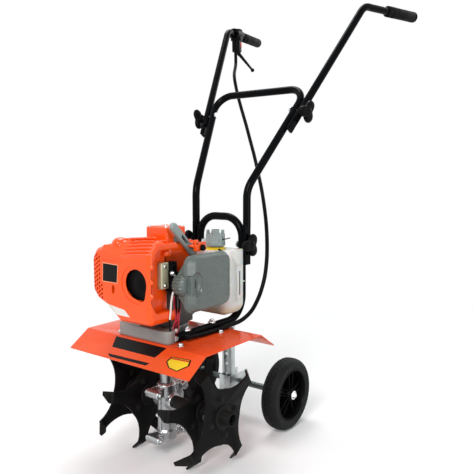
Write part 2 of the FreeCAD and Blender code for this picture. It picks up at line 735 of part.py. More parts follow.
# ================================================================ rear stake and wheel bracket
def make_rear_bracket():
    back = "channel_y + channel_deep"
    channel = body("Channel")
    section = outline(sketch(channel, "ChannelSection", "XY_Plane"), [
        ("-channel_wide / 2", "0"),
        ("channel_wide / 2", "0"),
        ("channel_wide / 2", "channel_deep"),
        ("channel_wide / 2 - channel_wall", "channel_deep"),
        ("channel_wide / 2 - channel_wall", "channel_wall"),
        ("-channel_wide / 2 + channel_wall", "channel_wall"),
        ("-channel_wide / 2 + channel_wall", "channel_deep"),
        ("-channel_wide / 2", "channel_deep"),
    ])
    pad(channel, "ChannelPad", section, "channel_top - channel_low")
    for i in range(5):
        hole = ring(sketch(channel, f"ChannelHole{i}", "XZ_Plane"), "channel_hole_r", 0,
                    f"{i - 2} * channel_pitch + 8")
        pocket(channel, f"ChannelPocket{i}", hole, "3 * channel_wall")
    place(channel, 0, "tine_axis_y + channel_y", "(channel_top + channel_low) / 2")
    node(channel, "drag_channel")

    half = "hanger_wide / 2"
    level = "deck_top - deck_thick - flap_drop - hanger_below"
    under = "deck_top - deck_thick"
    y_front = "tine_axis_y + neck_flange_r + hanger_gap"
    y_drop = f"{y_front} + hanger_deep"
    y_end = "tine_axis_y + channel_y"
    top = box("HangerTop", (f"-{half}", half), (y_front, y_drop), (f"{under} - hanger_thick", under))
    web = box("HangerWeb", (f"-{half}", half), (f"{y_drop} - hanger_thick", y_drop), (level, under))
    run = box("HangerRun", (f"-{half}", half), (f"{y_drop} - hanger_thick", y_end),
              (level, f"{level} + hanger_thick"))
    plate = box("HangerPlate", (f"-{half}", half), (f"{y_end} - hanger_thick", y_end),
                (f"{level} - hanger_down", f"{level} + hanger_up"))
    node(fuse("Hanger", top, web, run, plate), "channel_hanger")

    cheeks = []
    span_z = ("wheel_r - fork_below", "wheel_r - fork_below + fork_high")
    y_lap = "tine_axis_y + channel_y - fork_lap"
    for name, sign in SIDES:
        x0 = "channel_wide / 2" if sign > 0 else "-channel_wide / 2 - fork_wall"
        cheeks.append(box(f"Cheek{name}", (x0, f"{x0} + fork_wall"),
                          (y_lap, "tine_axis_y + wheel_axis_y + fork_tail"), span_z))
    bridge = box("ForkBridge", ("-channel_wide / 2", "channel_wide / 2"), (y_lap, f"{y_lap} + fork_wall"),
                 span_z)
    fork = fuse("ForkSolid", bridge, *cheeks)
    bore = rod("ForkBore", "x", "axle_r + slip", "-channel_wide", "2 * channel_wide", 0,
               "tine_axis_y + wheel_axis_y", "wheel_r")
    node(cut("Fork", fork, bore), "wheel_fork")


# ================================================================ frame and handlebar
def point(x, y, z):
    return Vector(x, TINE_Y + y, z)


def leg_at(sign, z):
    """Middle of the handlebar's leg at a height above its bend."""
    rise = z - size("leg_bend_z")
    x = size("frame_x + tube_r + lap_gap + flat_thick / 2")
    return point(sign * (x + size("leg_out") * rise), size("frame_y") + size("leg_back") * rise, z)


def leg_run(sign):
    return Vector(sign * size("leg_out"), size("leg_back"), 1).normalize()


def pivot_side(sign):
    """Outward direction of the upper pivot: square to the leg, close to X."""
    run = leg_run(sign)
    side = Vector(sign, 0, 0)
    return (side - run * side.dot(run)).normalize()


def make_frame():
    r = size("tube_r")
    x = size("frame_x")
    y = size("frame_y")
    low = size("deck_top") + r
    top = size("frame_top")
    corners = [point(x, size("frame_front"), low), point(x, y, low), point(x, y, top),
               point(-x, y, top), point(-x, y, low), point(-x, size("frame_front"), low)]
    bends = [size("frame_low_bend"), size("frame_top_bend"), size("frame_top_bend"), size("frame_low_bend")]
    shape = tube(corners, bends, r, size("tube_wall"))
    for sign in (1, -1):
        start = point(sign * x - 2 * r, y, size("low_pivot_z"))
        hole = Part.makeCylinder(size("bolt_r + slip"), 4 * r, start, Vector(1, 0, 0))
        shape = shape.cut(hole)
    feature("frame_tube", shape)
    bolts = []
    for sign in (1, -1):
        for along_y in (0, size("frame_bolt_pitch")):
            seat = point(sign * x, along_y, low + r)
            up = Vector(0, 0, 1)
            bolts.append(Part.makeCylinder(size("frame_bolt_r"), size("frame_bolt_high"), seat, up))
    feature("frame_bolts", Part.makeCompound(bolts))


def make_mid_handle():
    r = size("tube_r")
    wall = size("tube_wall")
    flat = size("flat_thick")
    flat_top = size("flat_top_z")
    low_end = size("low_end_z")
    up = Vector(0, 0, 1)
    left, right = leg_at(1, size("leg_bend_z")), leg_at(-1, size("leg_bend_z"))
    start = {1: Vector(left.x, left.y, flat_top - 6), -1: Vector(right.x, right.y, flat_top - 6)}
    corners = [start[1], left, leg_at(1, size("cross_z")), leg_at(-1, size("cross_z")), right, start[-1]]
    leg_r = size("leg_bend_r")
    cross_r = size("cross_bend")
    shape = tube(corners, [leg_r, cross_r, cross_r, leg_r], r, wall)
    for sign in (1, -1):
        foot = Vector(start[sign].x, start[sign].y, low_end)
        shape = shape.fuse(long_block(foot, up, Vector(1, 0, 0), flat_top - low_end, flat, size("flat_wide")))
    for sign in (1, -1):
        pivot = Vector(start[sign].x, start[sign].y, size("low_pivot_z"))
        shape = shape.cut(Part.makeCylinder(size("bolt_r + slip"), 2 * flat, pivot - Vector(flat, 0, 0),
                                            Vector(1, 0, 0)))
        side = pivot_side(sign)
        high = leg_at(sign, size("high_pivot_z"))
        shape = shape.cut(Part.makeCylinder(size("bolt_r + slip"), 4 * r, high - side * 2 * r, side))
    feature("mid_handle", shape.removeSplitter())


def make_knob(seat, out, name):
    """Three-lobed clamping knob with its washer, seated at a point and facing out."""
    reach = size("knob_lobe")
    lobe_r = size("knob_lobe_r")
    high = size("knob_lobe_high")
    foot = size("knob_foot")
    hub = Part.makeCylinder(size("knob_hub_r"), size("knob_hub_high"))
    for turn in range(3):
        lobe = Part.makeBox(reach, 2 * lobe_r - 1, high, Vector(0, 0.5 - lobe_r, foot))
        lobe = lobe.fuse(Part.makeCylinder(lobe_r, high, Vector(reach, 0, foot)))
        lobe.rotate(Vector(), Vector(0, 0, 1), 120 * turn + 30)
        hub = hub.fuse(lobe)
    hub = hub.cut(Part.makeCylinder(size("bolt_r + slip"), size("bolt_grip + slip"))).removeSplitter()
    hub.Placement = Placement(seat, Rotation(Vector(0, 0, 1), out))
    feature(name, hub)


def make_pivot(seat, out, long, knob):
    """Pivot bolt from its head to the end inside its knob."""
    shank = Part.makeCylinder(size("bolt_r"), long + size("bolt_grip"), seat, out)
    head = Part.makeCylinder(size("bolt_head_r"), size("bolt_head_high"), seat, out * -1)
    make_knob(seat + out * long, out, knob)
    return shank.fuse(head)


def make_pivots():
    r = size("tube_r")
    low_bolts = []
    high_bolts = []
    for name, sign in SIDES:
        out = Vector(sign, 0, 0)
        inner = point(sign * (size("frame_x") - r), size("frame_y"), size("low_pivot_z"))
        long = 2 * r + size("lap_gap + flat_thick")
        low_bolts.append(make_pivot(inner, out, long, f"low_knob_{name}"))
        out = pivot_side(sign)
        inner = leg_at(sign, size("high_pivot_z")) - out * r
        long = 4 * r + size("lap_gap")
        high_bolts.append(make_pivot(inner, out, long, f"high_knob_{name}"))
    feature("low_pivot_bolts", Part.makeCompound(low_bolts))
    feature("high_pivot_bolts", Part.makeCompound(high_bolts))


def make_handle(name, sign):
    """Upper handle: flattened lower end lapped on the leg, a bend, then the grip."""
    r = size("tube_r")
    run = leg_run(sign)
    side = pivot_side(sign)
    offset = size("2 * tube_r + lap_gap")
    pivot = leg_at(sign, size("high_pivot_z")) + side * offset
    foot = pivot - run * size("handle_tail")
    flat_end = foot + run * size("handle_flat")
    vertex = pivot + run * ((size("handle_top_z") - pivot.z) / run.z)
    grip_run = Vector(sign * size("grip_run_x"), size("grip_run_y"), size("grip_run_z"))
    tail = vertex + grip_run
    bar = tube([flat_end - run * 6, vertex, tail], [size("handle_bend")], r, size("tube_wall"))
    lap = long_block(foot, run, side, size("handle_flat"), size("flat_thick"), size("flat_wide") - 2)
    bar = bar.fuse(lap)
    bar = bar.cut(Part.makeCylinder(size("bolt_r + slip"), 4 * r, pivot - side * 2 * r, side))
    bar = bar.removeSplitter()
    feature(f"handle_{name}", bar)
    run = grip_run.normalize()
    grip_r = size("grip_r")
    start = tail - run * size("grip_long")
    grip = Part.makeCylinder(grip_r, size("grip_long") + 3, start, run)
    grip = grip.cut(Part.makeCylinder(size("tube_r + slip"), size("grip_long + slip"), start, run))
    feature(f"grip_{name}", grip)
    return vertex, run


def make_control(vertex, run):
    """Throttle control clamped on the right handle, just ahead of its grip."""
    r = size("tube_r")
    hole_r = size("tube_r + slip")
    long = size("control_long")
    down = Vector(0, 0, -1)
    down = (down - run * down.dot(run)).normalize()
    inward = down.cross(run).normalize()
    if inward.x < 0:
        inward = inward * -1
    start = vertex + run * size("control_start")
    middle = start + run * (long / 2)
    up = size("control_up")
    drop = size("control_drop")
    clamp = Part.makeCylinder(r + size("control_wall"), long, start, run)
    upper = long_block(middle - down * (r + up), down, run, 2 * (r + up) + up, long - 2 * up,
                       size("control_deep"))
    neck_top = r + size("control_wall")
    neck_wide = size("control_neck")
    lower = long_block(middle + down * neck_top, down, run, drop - neck_top, size("control_neck_long"),
                       neck_wide)
    housing = clamp.fuse([upper, lower]).cut(Part.makeCylinder(hole_r, long, start, run))
    feature("throttle_housing", housing.removeSplitter())
    switch = size("switch_long")
    thick = size("switch_thick")
    seat = middle + inward * ((neck_wide + thick) / 2 + size("slip")) + down * size("tube_r + switch_drop")
    seat = seat + run * size("switch_wide / 2")
    feature("stop_switch", long_block(seat, down, inward, switch, thick, size("switch_wide")))
    lever_r = size("lever_r")
    straight = size("lever_hinge")
    hinge = middle + run * size("switch_wide") + down * (size("control_drop + slip") + lever_r)
    end = hinge + run * size("lever_back") + down * size("lever_down") + inward * size("lever_in")
    lever = round_bar([hinge - run * straight / 2, hinge + run * straight, end], [straight], lever_r)
    feature("throttle_lever", lever.fuse(Part.makeSphere(size("lever_ball_r"), end)))
    return middle - run * size("switch_wide") + down * size("control_drop + slip"), down


# ================================================================ engine
def make_engine():
    y = "tine_axis_y"
    crank = box("Crankcase", ("-crank_half", "crank_half"), (f"{y} - crank_front", f"{y} + crank_back"),
                ("deck_top + base_high", "crank_top"))
    cylinder = box("Cylinder", ("-cyl_half", "cyl_half"), (f"{y} - cyl_front", f"{y} - crank_front + 2"),
                   ("cyl_low", "cyl_top"))
    cylinder_node = cut("CylinderClear", cylinder,
                        rod("FanClear", "z", "fan_r + lap_gap", "crank_top", "cyl_top - cyl_low", 0, y))
    node(fuse("EngineBlock", crank, cylinder_node), "engine_block")
    drum = rod("FanDrum", "z", "fan_r", "crank_top", "fan_top - crank_top", 0, y)
    flat = box("FanFlat", ("fan_flat", "2 * fan_r"), (f"{y} - fan_r", f"{y} + fan_r"),
               ("crank_top", "fan_top"))
    node(cut("Fan", drum, flat), "fan_housing")
    starter = box("StarterBox", ("-starter_side / 2 + starter_shift", "starter_side / 2 + starter_shift"),
                  (f"{y} - starter_side / 2", f"{y} + starter_side / 2"), ("fan_top", "starter_top"))
    node(round_edges("Starter", starter, "starter_round", along("z")), "starter_housing")
    side = "starter_side / 2 + starter_shift"
    node(rod("RopeGuide", "x", "rope_r", side, "starter_gap - slip", 0, y, "starter_bar_z"), "rope_guide")
    out = Vector(1, 0, 0)
    lean = Vector(0, 1, -1).normalize()
    thick = size("starter_bar_thick")
    long = size("starter_bar_long")
    middle = Vector(size(f"{side} + starter_gap") + thick / 2, TINE_Y, size("starter_bar_z"))
    bar = long_block(middle - lean * (long / 2), lean, out, long, thick, size("starter_bar_wide"))
    feature("starter_handle", bar)


def drop_opening(high):
    """Tool for the opening over the spark plug: two circles and the straight sides that join them."""
    big = Vector(size("plug_x"), 0, size("plug_z"))
    small = big + Vector(size("drop_tail_x"), 0, -size("drop_tail_z"))
    big_r = size("drop_r")
    small_r = size("drop_tail_r")
    back = Vector(0, 1, 0)
    run = (small - big).normalize()
    cross = back.cross(run)
    lean = (big_r - small_r) / (small - big).Length
    across = math.sqrt(1 - lean ** 2)
    corners = []
    for centre, r, sign in ((big, big_r, 1), (small, small_r, 1), (small, small_r, -1), (big, big_r, -1)):
        corners.append(centre + (run * lean + cross * across * sign) * r)
    side = Part.Face(Part.makePolygon(corners + corners[:1])).extrude(back * high)
    ends = [Part.makeCylinder(big_r, high, big, back), Part.makeCylinder(small_r, high, small, back)]
    return side.fuse(ends)


def make_shroud():
    """Cover over the cylinder and silencer: front wall, top, ends and bottom, open behind."""
    wall = size("shroud_wall")
    left = size("shroud_left")
    right = size("shroud_right")
    low = size("shroud_low")
    top = size("shroud_top")
    soft = size("shroud_round")
    front = TINE_Y - size("shroud_front")
    back = TINE_Y - size("shroud_back")
    # front outline, from the lower left round over the top
    corners = [(left, low + 2), (left, top), (-20, top - 6), (52 - right, top - 13), (14 - right, top - 24),
               (-right, top - 46), (-right, low + 62), (16 - right, low + 42), (44 - right, low + 31),
               (88 - right, low)]

    def prism(inset, start, end):
        shape = Part.makePolygon([Vector(x, start, z) for x, z in corners + corners[:1]])
        face = Part.Face(shape)
        if inset:
            face = Part.Face(Part.Wire(shape.makeOffset2D(-inset).Edges))
        return face.extrude(Vector(0, end - start, 0))
    outer = prism(0, front, back)
    rim = [e for e in outer.Edges
           if abs(e.BoundBox.YMin - front) < 1e-3 and abs(e.BoundBox.YMax - front) < 1e-3]
    length = [e for e in outer.Edges if e.BoundBox.YLength > soft]
    outer = outer.makeFillet(soft, rim + length)
    shell = outer.cut(prism(wall, front + soft, back))
    high = top - low
    reach = size("fan_r + lap_gap")
    shell = shell.cut(Part.makeCylinder(reach, high, Vector(0, TINE_Y, size("crank_top")), Vector(0, 0, 1)))
    half = size("crank_half + 1")
    shell = shell.cut(Part.makeBox(2 * half, high, high,
                                   Vector(-half, TINE_Y - size("crank_front") - 1, size("crank_top") - high)))
    window = Part.makeBox(4 * wall, high, size("window_top - window_base"),
                          Vector(left - 2 * wall, TINE_Y - size("window_front"), size("window_base")))
    window_edge = TINE_Y - size("window_front")
    corner_edges = [e for e in window.Edges if along("x")(e) and e.BoundBox.YMax < window_edge + 1]
    window = window.makeFillet(size("window_round"), corner_edges)
    opening = drop_opening(3 * soft)
    opening.translate(Vector(0, front - soft, 0))
    feature("engine_shroud", shell.cut(window).cut(opening))
    seat = point(size("plug_x"), -size("cyl_front"), size("plug_z"))
    boot_long = size("shroud_front - cyl_front - plug_gap")
    feature("spark_plug_boot", Part.makeCylinder(size("plug_r"), boot_long, seat, Vector(0, -1, 0)))


def make_breathing():
    """Silencer, carburettor, air filter and fuel tank."""
    y = "tine_axis_y"
    silencer = box("SilencerBox", ("-silencer_right", "-silencer_left"),
                   (f"{y} - silencer_front", f"{y} - silencer_back"), ("silencer_low", "silencer_top"))
    node(round_edges("Silencer", silencer, "silencer_round", along("z")), "silencer")
    carb = box("CarbBox", ("crank_half", "filter_x"), (f"{y} - carb_front", f"{y} + carb_back"),
               ("carb_low", "carb_top"))
    node(round_edges("Carb", carb, "carb_round", along("x")), "carburettor")
    span_y = (f"{y} - filter_front", f"{y} + filter_back")
    span_z = ("filter_low", "filter_top")
    middle_z = "(filter_low + filter_top) / 2"
    outer_x = "filter_x + filter_base + filter_cover"
    base = box("FilterBaseBox", ("filter_x", "filter_x + filter_base"), span_y, span_z)
    node(round_edges("FilterBase", base, "filter_round", along("x")), "filter_base")
    cover = box("FilterCoverBox", ("filter_x + filter_base", outer_x), span_y, span_z)
    cover = round_edges("FilterCoverRound", cover, "filter_round", along("x"))
    face = size(outer_x)
    cover = round_edges("FilterCoverSoft", cover, "filter_soft",
                        lambda e: abs(e.BoundBox.XMin - face) < 1e-3 and abs(e.BoundBox.XMax - face) < 1e-3)
    scoop = doc.addObject("Part::Sphere", "FilterScoop")
    bind(scoop, Radius="scoop_r")
    place(scoop, f"{outer_x} - scoop_out", f"{y} - filter_front - scoop_out", middle_z)
    node(cut("FilterCover", cover, scoop), "filter_cover")
    knob = rod("FilterKnob", "y", "knob_r", f"{y} - filter_front - knob_high", "knob_high",
               "filter_x + knob_in", 0, middle_z)
    node(knob, "filter_knob")
    tank_back = f"{y} + frame_y - tube_r - tank_back_gap"
    tank_low = "deck_top + 2 * tube_r + tank_low_gap"
    tank = box("TankBox", ("-tank_right", "tank_left"), (f"{y} + tank_front", tank_back),
               (tank_low, "tank_top"))
    tank = round_edges("TankRound", tank, "tank_round", along("z"))
    rear = size(tank_back)
    low = size(tank_low)
    tank = round_edges("TankHeel", tank, "tank_heel", lambda e: along("x")(e)
                       and e.BoundBox.YMax > rear - 1e-3 and e.BoundBox.ZMax < low + 1e-3)
    node(tank, "fuel_tank")
    neck = rod("TankNeck", "z", "cap_r - neck_inset", "tank_top", "neck_high", "cap_x", f"{y} + cap_y")
    cap = rod("TankCapRod", "z", "cap_r", "tank_top + neck_high", "cap_high", "cap_x", f"{y} + cap_y")
    node(fuse("TankCap", neck, cap), "fuel_cap")
    cradle = box("CradleBox", ("-cradle_half", "cradle_half"), (f"{y} + crank_back", f"{y} + tank_front"),
                 (f"{tank_low} + cradle_up", f"{tank_low} + cradle_up + cradle_high"))
    node(cradle, "tank_cradle")


# ================================================================ control cable
LOOM_POINTS = [
    (-198, 514, 935), (-176, 499, 885), (-148, 482, 835), (-117, 464, 785), (-86, 443, 735), (-54, 420, 687),
    (-22, 393, 640), (9, 366, 594), (37, 338, 550), (61, 312, 508), (78, 291, 466), (90, 273, 424),
    (95, 257, 380), (95, 235, 338), (93, 205, 304), (91, 166, 288), (89, 120, 285), (87, 40, 284),
    (84, -28, 288),
]
LOOM_SPLITS = (3, 11)


def loom_radii(points):
    """Radius at each inner point: as large as its two runs allow."""
    radii = []
    for a, b, c in zip(points, points[1:], points[2:]):
        turn = (b - a).getAngle(c - b)
        radii.append(0.45 * min((b - a).Length, (c - b).Length) / math.tan(turn / 2))
    return radii


def make_loom(start, down):
    """Cable from the throttle housing to the engine, cut at the middle of two runs."""
    points = [start, start + down * 40] + [point(*p) for p in LOOM_POINTS]
    radii = loom_radii(points)
    cuts = []
    for index in LOOM_SPLITS:
        cuts.append((index + 2, (points[index + 1] + points[index + 2]) * 0.5))
    spans = []
    first = 0
    here = [points[0]]
    for index, middle in cuts:
        spans.append((here + points[first + 1:index] + [middle], radii[first:index - 1]))
        here = [middle]
        first = index - 1
    spans.append((here + points[first + 1:], radii[first:]))
    print("cable radii:", [round(r) for r in radii])
    for name, (run, bends) in zip(("loom_upper", "loom_middle", "loom_lower"), spans):
        shape = round_bar(run, bends, size("loom_r"))
        length = bent_path(run, bends).Length
        section = math.pi * size("loom_r") ** 2
        print(name, "length", round(length), "volume over section times length",
              round(shape.Volume / (section * length), 4))
        feature(name, shape)


make_deck()
make_engine_base()
make_neck()
make_gear_case()
make_rotor()
make_wheels()
make_rear_bracket()
make_frame()
make_mid_handle()
make_pivots()
make_handle("left", 1)
control_vertex, control_run = make_handle("right", -1)
cable_exit, cable_down = make_control(control_vertex, control_run)
make_engine()
make_shroud()
make_breathing()
make_loom(cable_exit, cable_down)

# ---------------------------------------------------------------- checks and export
doc.recompute()
faults = [thing.Label for thing in doc.Objects if "Invalid" in thing.State or "Error" in thing.State]
faults += [thing.Label for thing in nodes if thing.Shape.isNull() or not thing.Shape.isValid()]
if faults:
    raise SystemExit("failed objects: " + ", ".join(faults))
for thing in nodes:
    thing.Shape.exportStep(f"parts/{thing.Label}.step")
print(len(nodes), "sub-parts written")
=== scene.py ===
import json
import math

import bmesh
import bpy
import numpy as np
from mathutils import Matrix, Vector
from mathutils.bvhtree import BVHTree


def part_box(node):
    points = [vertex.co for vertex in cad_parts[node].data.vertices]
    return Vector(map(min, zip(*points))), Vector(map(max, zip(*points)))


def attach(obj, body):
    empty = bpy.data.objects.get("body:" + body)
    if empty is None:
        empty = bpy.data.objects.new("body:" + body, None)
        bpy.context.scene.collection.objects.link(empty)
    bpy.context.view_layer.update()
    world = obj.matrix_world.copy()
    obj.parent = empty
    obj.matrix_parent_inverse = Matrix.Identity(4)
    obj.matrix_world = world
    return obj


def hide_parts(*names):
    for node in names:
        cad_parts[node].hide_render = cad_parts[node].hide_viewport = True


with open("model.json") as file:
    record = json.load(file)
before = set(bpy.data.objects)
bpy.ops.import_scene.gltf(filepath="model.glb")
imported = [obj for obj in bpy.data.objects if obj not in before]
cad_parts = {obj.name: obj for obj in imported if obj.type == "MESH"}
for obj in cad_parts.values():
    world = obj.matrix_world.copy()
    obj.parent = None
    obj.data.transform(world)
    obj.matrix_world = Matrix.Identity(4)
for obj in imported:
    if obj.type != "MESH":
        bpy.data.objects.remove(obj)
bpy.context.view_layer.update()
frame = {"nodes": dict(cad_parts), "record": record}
scene = bpy.context.scene
nodes = frame["nodes"]
X = Vector((1, 0, 0))
Y = Vector((0, 1, 0))
Z = Vector((0, 0, 1))


def middle(name):
    """Middle of a CAD node's box."""
    low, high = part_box(name)
    return (low + high) / 2


# The tine axis and the crankshaft share one place along Y; depths are measured from it.
AXIS = middle("tine_shaft")


def at(x, y, z):
    """Point in millimetres: x and z from the frame's origin, y behind the tine axis."""
    return Vector((x / 1000, AXIS.y + y / 1000, z / 1000))


# ------------------------------------------------------------------ materials
def shader(name):
    """New material with its node tree and its Principled BSDF."""
    material = bpy.data.materials.new(name)
    material.use_nodes = True
    tree = material.node_tree
    return material, tree, tree.nodes["Principled BSDF"]


def node(tree, kind, **values):
    """New shader node; keyword values set its sockets by name, or its own settings."""
    made = tree.nodes.new(kind)
    for key, value in values.items():
        if hasattr(made, key):
            setattr(made, key, value)
        else:
            made.inputs[key.replace("_", " ")].default_value = value
    return made


def coordinates(tree):
    """Object coordinates in metres."""
    return node(tree, "ShaderNodeTexCoord").outputs["Object"]


def noise(tree, place, scale, detail):
    """Noise of so many waves per metre and so many octaves."""
    made = node(tree, "ShaderNodeTexNoise", Scale=scale, Detail=detail, Roughness=0.55)
    tree.links.new(place, made.inputs["Vector"])
    return made.outputs["Fac"]


def spread(tree, source, low, high, start=0.3, stop=0.7, smooth=False):
    """Map a signal between start and stop to the range low-high."""
    made = node(tree, "ShaderNodeMapRange")
    if smooth:
        made.interpolation_type = "SMOOTHSTEP"
    made.inputs["From Min"].default_value = start
    made.inputs["From Max"].default_value = stop
    made.inputs["To Min"].default_value = low
    made.inputs["To Max"].default_value = high
    tree.links.new(source, made.inputs["Value"])
    return made.outputs["Result"]


def blend_colours(tree, source, first, second):
    """Mix of two colours, each a value or another node's output."""
    made = node(tree, "ShaderNodeMix", data_type="RGBA")
    tree.links.new(source, made.inputs["Factor"])
    colour_a, colour_b, result = 6, 7, 2
    for socket, value in ((colour_a, first), (colour_b, second)):
        if isinstance(value, bpy.types.NodeSocket):
            tree.links.new(value, made.inputs[socket])
        else:
            made.inputs[socket].default_value = (*value, 1)
    return made.outputs[result]


def edge_wear_and_highlight(tree):
    """Mask that is 1 on convex edges, for worn paint and for painted highlights along edges; a flat face's
    pointiness is 0.5.
    """
    geometry = node(tree, "ShaderNodeNewGeometry")
    return spread(tree, geometry.outputs["Pointiness"], 0, 1, 0.505, 0.56)


def add_bump(tree, bsdf, source, strength):
    """Fine relief, 0.4 mm deep at strength 1."""
    bump = node(tree, "ShaderNodeBump", Strength=strength, Distance=0.0004)
    tree.links.new(source, bump.inputs["Height"])
    tree.links.new(bump.outputs["Normal"], bsdf.inputs["Normal"])


def surface(name, colour, shade, rough, grain, bump, metallic=0.0, coat=0.0, edge=None, specular=0.5,
            polish=0.12):
    """Finish whose colour drifts between two shades, with fine grain and an optional colour on convex edges,
    which is worn paint on the tines and a painted highlight on the deck, the khaki block and the zinc.

    rough is the roughness's range, grain the relief's waves per metre, polish the coat's roughness.
    """
    material, tree, bsdf = shader(name)
    place = coordinates(tree)
    drift = spread(tree, noise(tree, place, 14, 4), 0, 1)
    colour_out = blend_colours(tree, drift, colour, shade)
    if edge:
        colour_out = blend_colours(tree, edge_wear_and_highlight(tree), colour_out, edge)
    tree.links.new(colour_out, bsdf.inputs["Base Color"])
    tree.links.new(spread(tree, noise(tree, place, 45, 5), *rough), bsdf.inputs["Roughness"])
    bsdf.inputs["Metallic"].default_value = metallic
    bsdf.inputs["Specular IOR Level"].default_value = specular
    bsdf.inputs["Coat Weight"].default_value = coat
    bsdf.inputs["Coat Roughness"].default_value = polish
    add_bump(tree, bsdf, noise(tree, place, grain, 2), bump)
    return material


# Colour, shade, roughness range, grain and bump of each finish, and what sets it apart.
FINISHES = {
    # The deck paint's lighter orange on convex edges is a painted highlight along the edges.
    "deck_paint": ((0.66, 0.034, 0.003), (0.58, 0.028, 0.002), (0.2, 0.3), 900, 0.03,
                   dict(coat=0.22, polish=0.04, specular=0.06, edge=(0.74, 0.08, 0.015))),
    "orange_plastic": ((0.88, 0.082, 0.002), (0.82, 0.07, 0.001), (0.26, 0.38), 1600, 0.08,
                       dict(coat=0.5, polish=0.08, specular=0.2)),
    "black_paint": ((0.0016, 0.0018, 0.0022), (0.003, 0.0033, 0.004), (0.14, 0.24), 1200, 0.02,
                    dict(specular=0.04)),
    # The tine paint's lighter colour on convex edges is worn paint.
    "tine_black": ((0.0018, 0.0018, 0.0022), (0.0045, 0.0043, 0.0042), (0.3, 0.48), 420, 0.25,
                   dict(specular=0.03, edge=(0.016, 0.0155, 0.015))),
    # The cast alloy is lighter on its convex edges.
    "cast_alloy": ((0.46, 0.47, 0.475), (0.3, 0.31, 0.32), (0.22, 0.36), 650, 0.35,
                   dict(metallic=0.92, edge=(0.8, 0.81, 0.82))),
    "base_grey": ((0.27, 0.265, 0.25), (0.2, 0.2, 0.19), (0.42, 0.56), 700, 0.35, dict(metallic=0.3)),
    # The zinc's much lighter colour on convex edges is a painted highlight along the lips and edges.
    "zinc": ((0.115, 0.14, 0.14), (0.075, 0.095, 0.1), (0.24, 0.38), 90, 0.08,
             dict(metallic=0.92, edge=(0.5, 0.54, 0.54))),
    "black_plastic": ((0.0022, 0.0022, 0.0026), (0.0042, 0.0042, 0.0046), (0.28, 0.42), 1500, 0.12,
                      dict(specular=0.05)),
    "grip_foam": ((0.004, 0.004, 0.0045), (0.007, 0.007, 0.0075), (0.55, 0.75), 1900, 0.4,
                  dict(specular=0.06)),
    "tyre": ((0.0035, 0.0038, 0.004), (0.0075, 0.008, 0.0083), (0.48, 0.66), 1100, 0.35,
             dict(specular=0.14)),
    "grey_plastic": ((0.105, 0.13, 0.12), (0.088, 0.11, 0.102), (0.22, 0.32), 1500, 0.03, {}),
    "red_plastic": ((0.52, 0.01, 0.012), (0.45, 0.008, 0.01), (0.3, 0.42), 1500, 0.1, {}),
    "engine_cast": ((0.13, 0.135, 0.13), (0.08, 0.08, 0.078), (0.42, 0.6), 600, 0.5, dict(metallic=0.6)),
    "silencer_steel": ((0.07, 0.066, 0.062), (0.04, 0.037, 0.034), (0.45, 0.65), 500, 0.3,
                       dict(metallic=0.7)),
    "handle_grey": ((0.25, 0.3, 0.29), (0.2, 0.25, 0.24), (0.26, 0.38), 1500, 0.12, dict(specular=0.4)),
    "label_black": ((0.002, 0.002, 0.002), (0.004, 0.004, 0.004), (0.3, 0.4), 1900, 0.03,
                    dict(specular=0.12)),
    "label_white": ((0.72, 0.7, 0.66), (0.66, 0.63, 0.58), (0.34, 0.46), 1900, 0.03, {}),
    "label_yellow": ((0.8, 0.55, 0.015), (0.74, 0.48, 0.01), (0.3, 0.42), 1900, 0.03, {}),
    "label_edge": ((0.84, 0.36, 0.2), (0.78, 0.3, 0.16), (0.34, 0.46), 1900, 0.03, {}),
    # The khaki block's lighter colour on convex edges is a painted highlight along its bevels.
    "khaki": ((0.22, 0.215, 0.115), (0.15, 0.145, 0.075), (0.36, 0.52), 500, 0.4,
              dict(metallic=0.4, edge=(0.45, 0.44, 0.3))),
    "chrome": ((0.78, 0.78, 0.77), (0.66, 0.66, 0.66), (0.1, 0.22), 300, 0.05, dict(metallic=1.0)),
    "white_plastic": ((0.7, 0.69, 0.65), (0.6, 0.59, 0.55), (0.34, 0.48), 1500, 0.1, {}),
    "wire_red": ((0.48, 0.012, 0.03), (0.38, 0.008, 0.022), (0.34, 0.48), 1500, 0.1, {}),
    "brass": ((0.72, 0.56, 0.22), (0.6, 0.46, 0.18), (0.18, 0.32), 300, 0.05, dict(metallic=1.0)),
}
MATERIALS = {name: surface(name, *values, **extras) for name, (*values, extras) in FINISHES.items()}


def tank_material():
    """Milky moulded polythene: light passes into it, and fuel shows as a yellow tint low down."""
    material, tree, bsdf = shader("tank_plastic")
    place = coordinates(tree)
    tint = spread(tree, noise(tree, place, 9, 3), 0, 1)
    milk = blend_colours(tree, tint, (0.72, 0.73, 0.70), (0.64, 0.65, 0.62))
    height = node(tree, "ShaderNodeSeparateXYZ")
    tree.links.new(place, height.inputs[0])
    low = spread(tree, height.outputs["Z"], 1.0, 0.0, 0.318, 0.332, True)
    tree.links.new(blend_colours(tree, low, milk, (0.70, 0.66, 0.48)), bsdf.inputs["Base Color"])
    tree.links.new(spread(tree, noise(tree, place, 60, 4), 0.34, 0.46), bsdf.inputs["Roughness"])
    bsdf.inputs["Subsurface Weight"].default_value = 0.35
    bsdf.inputs["Subsurface Scale"].default_value = 0.01
    add_bump(tree, bsdf, noise(tree, place, 900, 2), 0.1)
    return material


MATERIALS["tank_plastic"] = tank_material()


def dress(piece, material):
    """Give a piece one finish by name."""
    piece.data.materials.clear()
    piece.data.materials.append(MATERIALS[material])


SLOT = {}
for part in frame["record"]["subparts"]:
    SLOT[part["node"]] = part["material_slot"]
    dress(nodes[part["node"]], part["material_slot"])


# ------------------------------------------------------------------ mesh helpers
def add_object(name, data):
    piece = bpy.data.objects.new(name, data)
    scene.collection.objects.link(piece)
    return piece


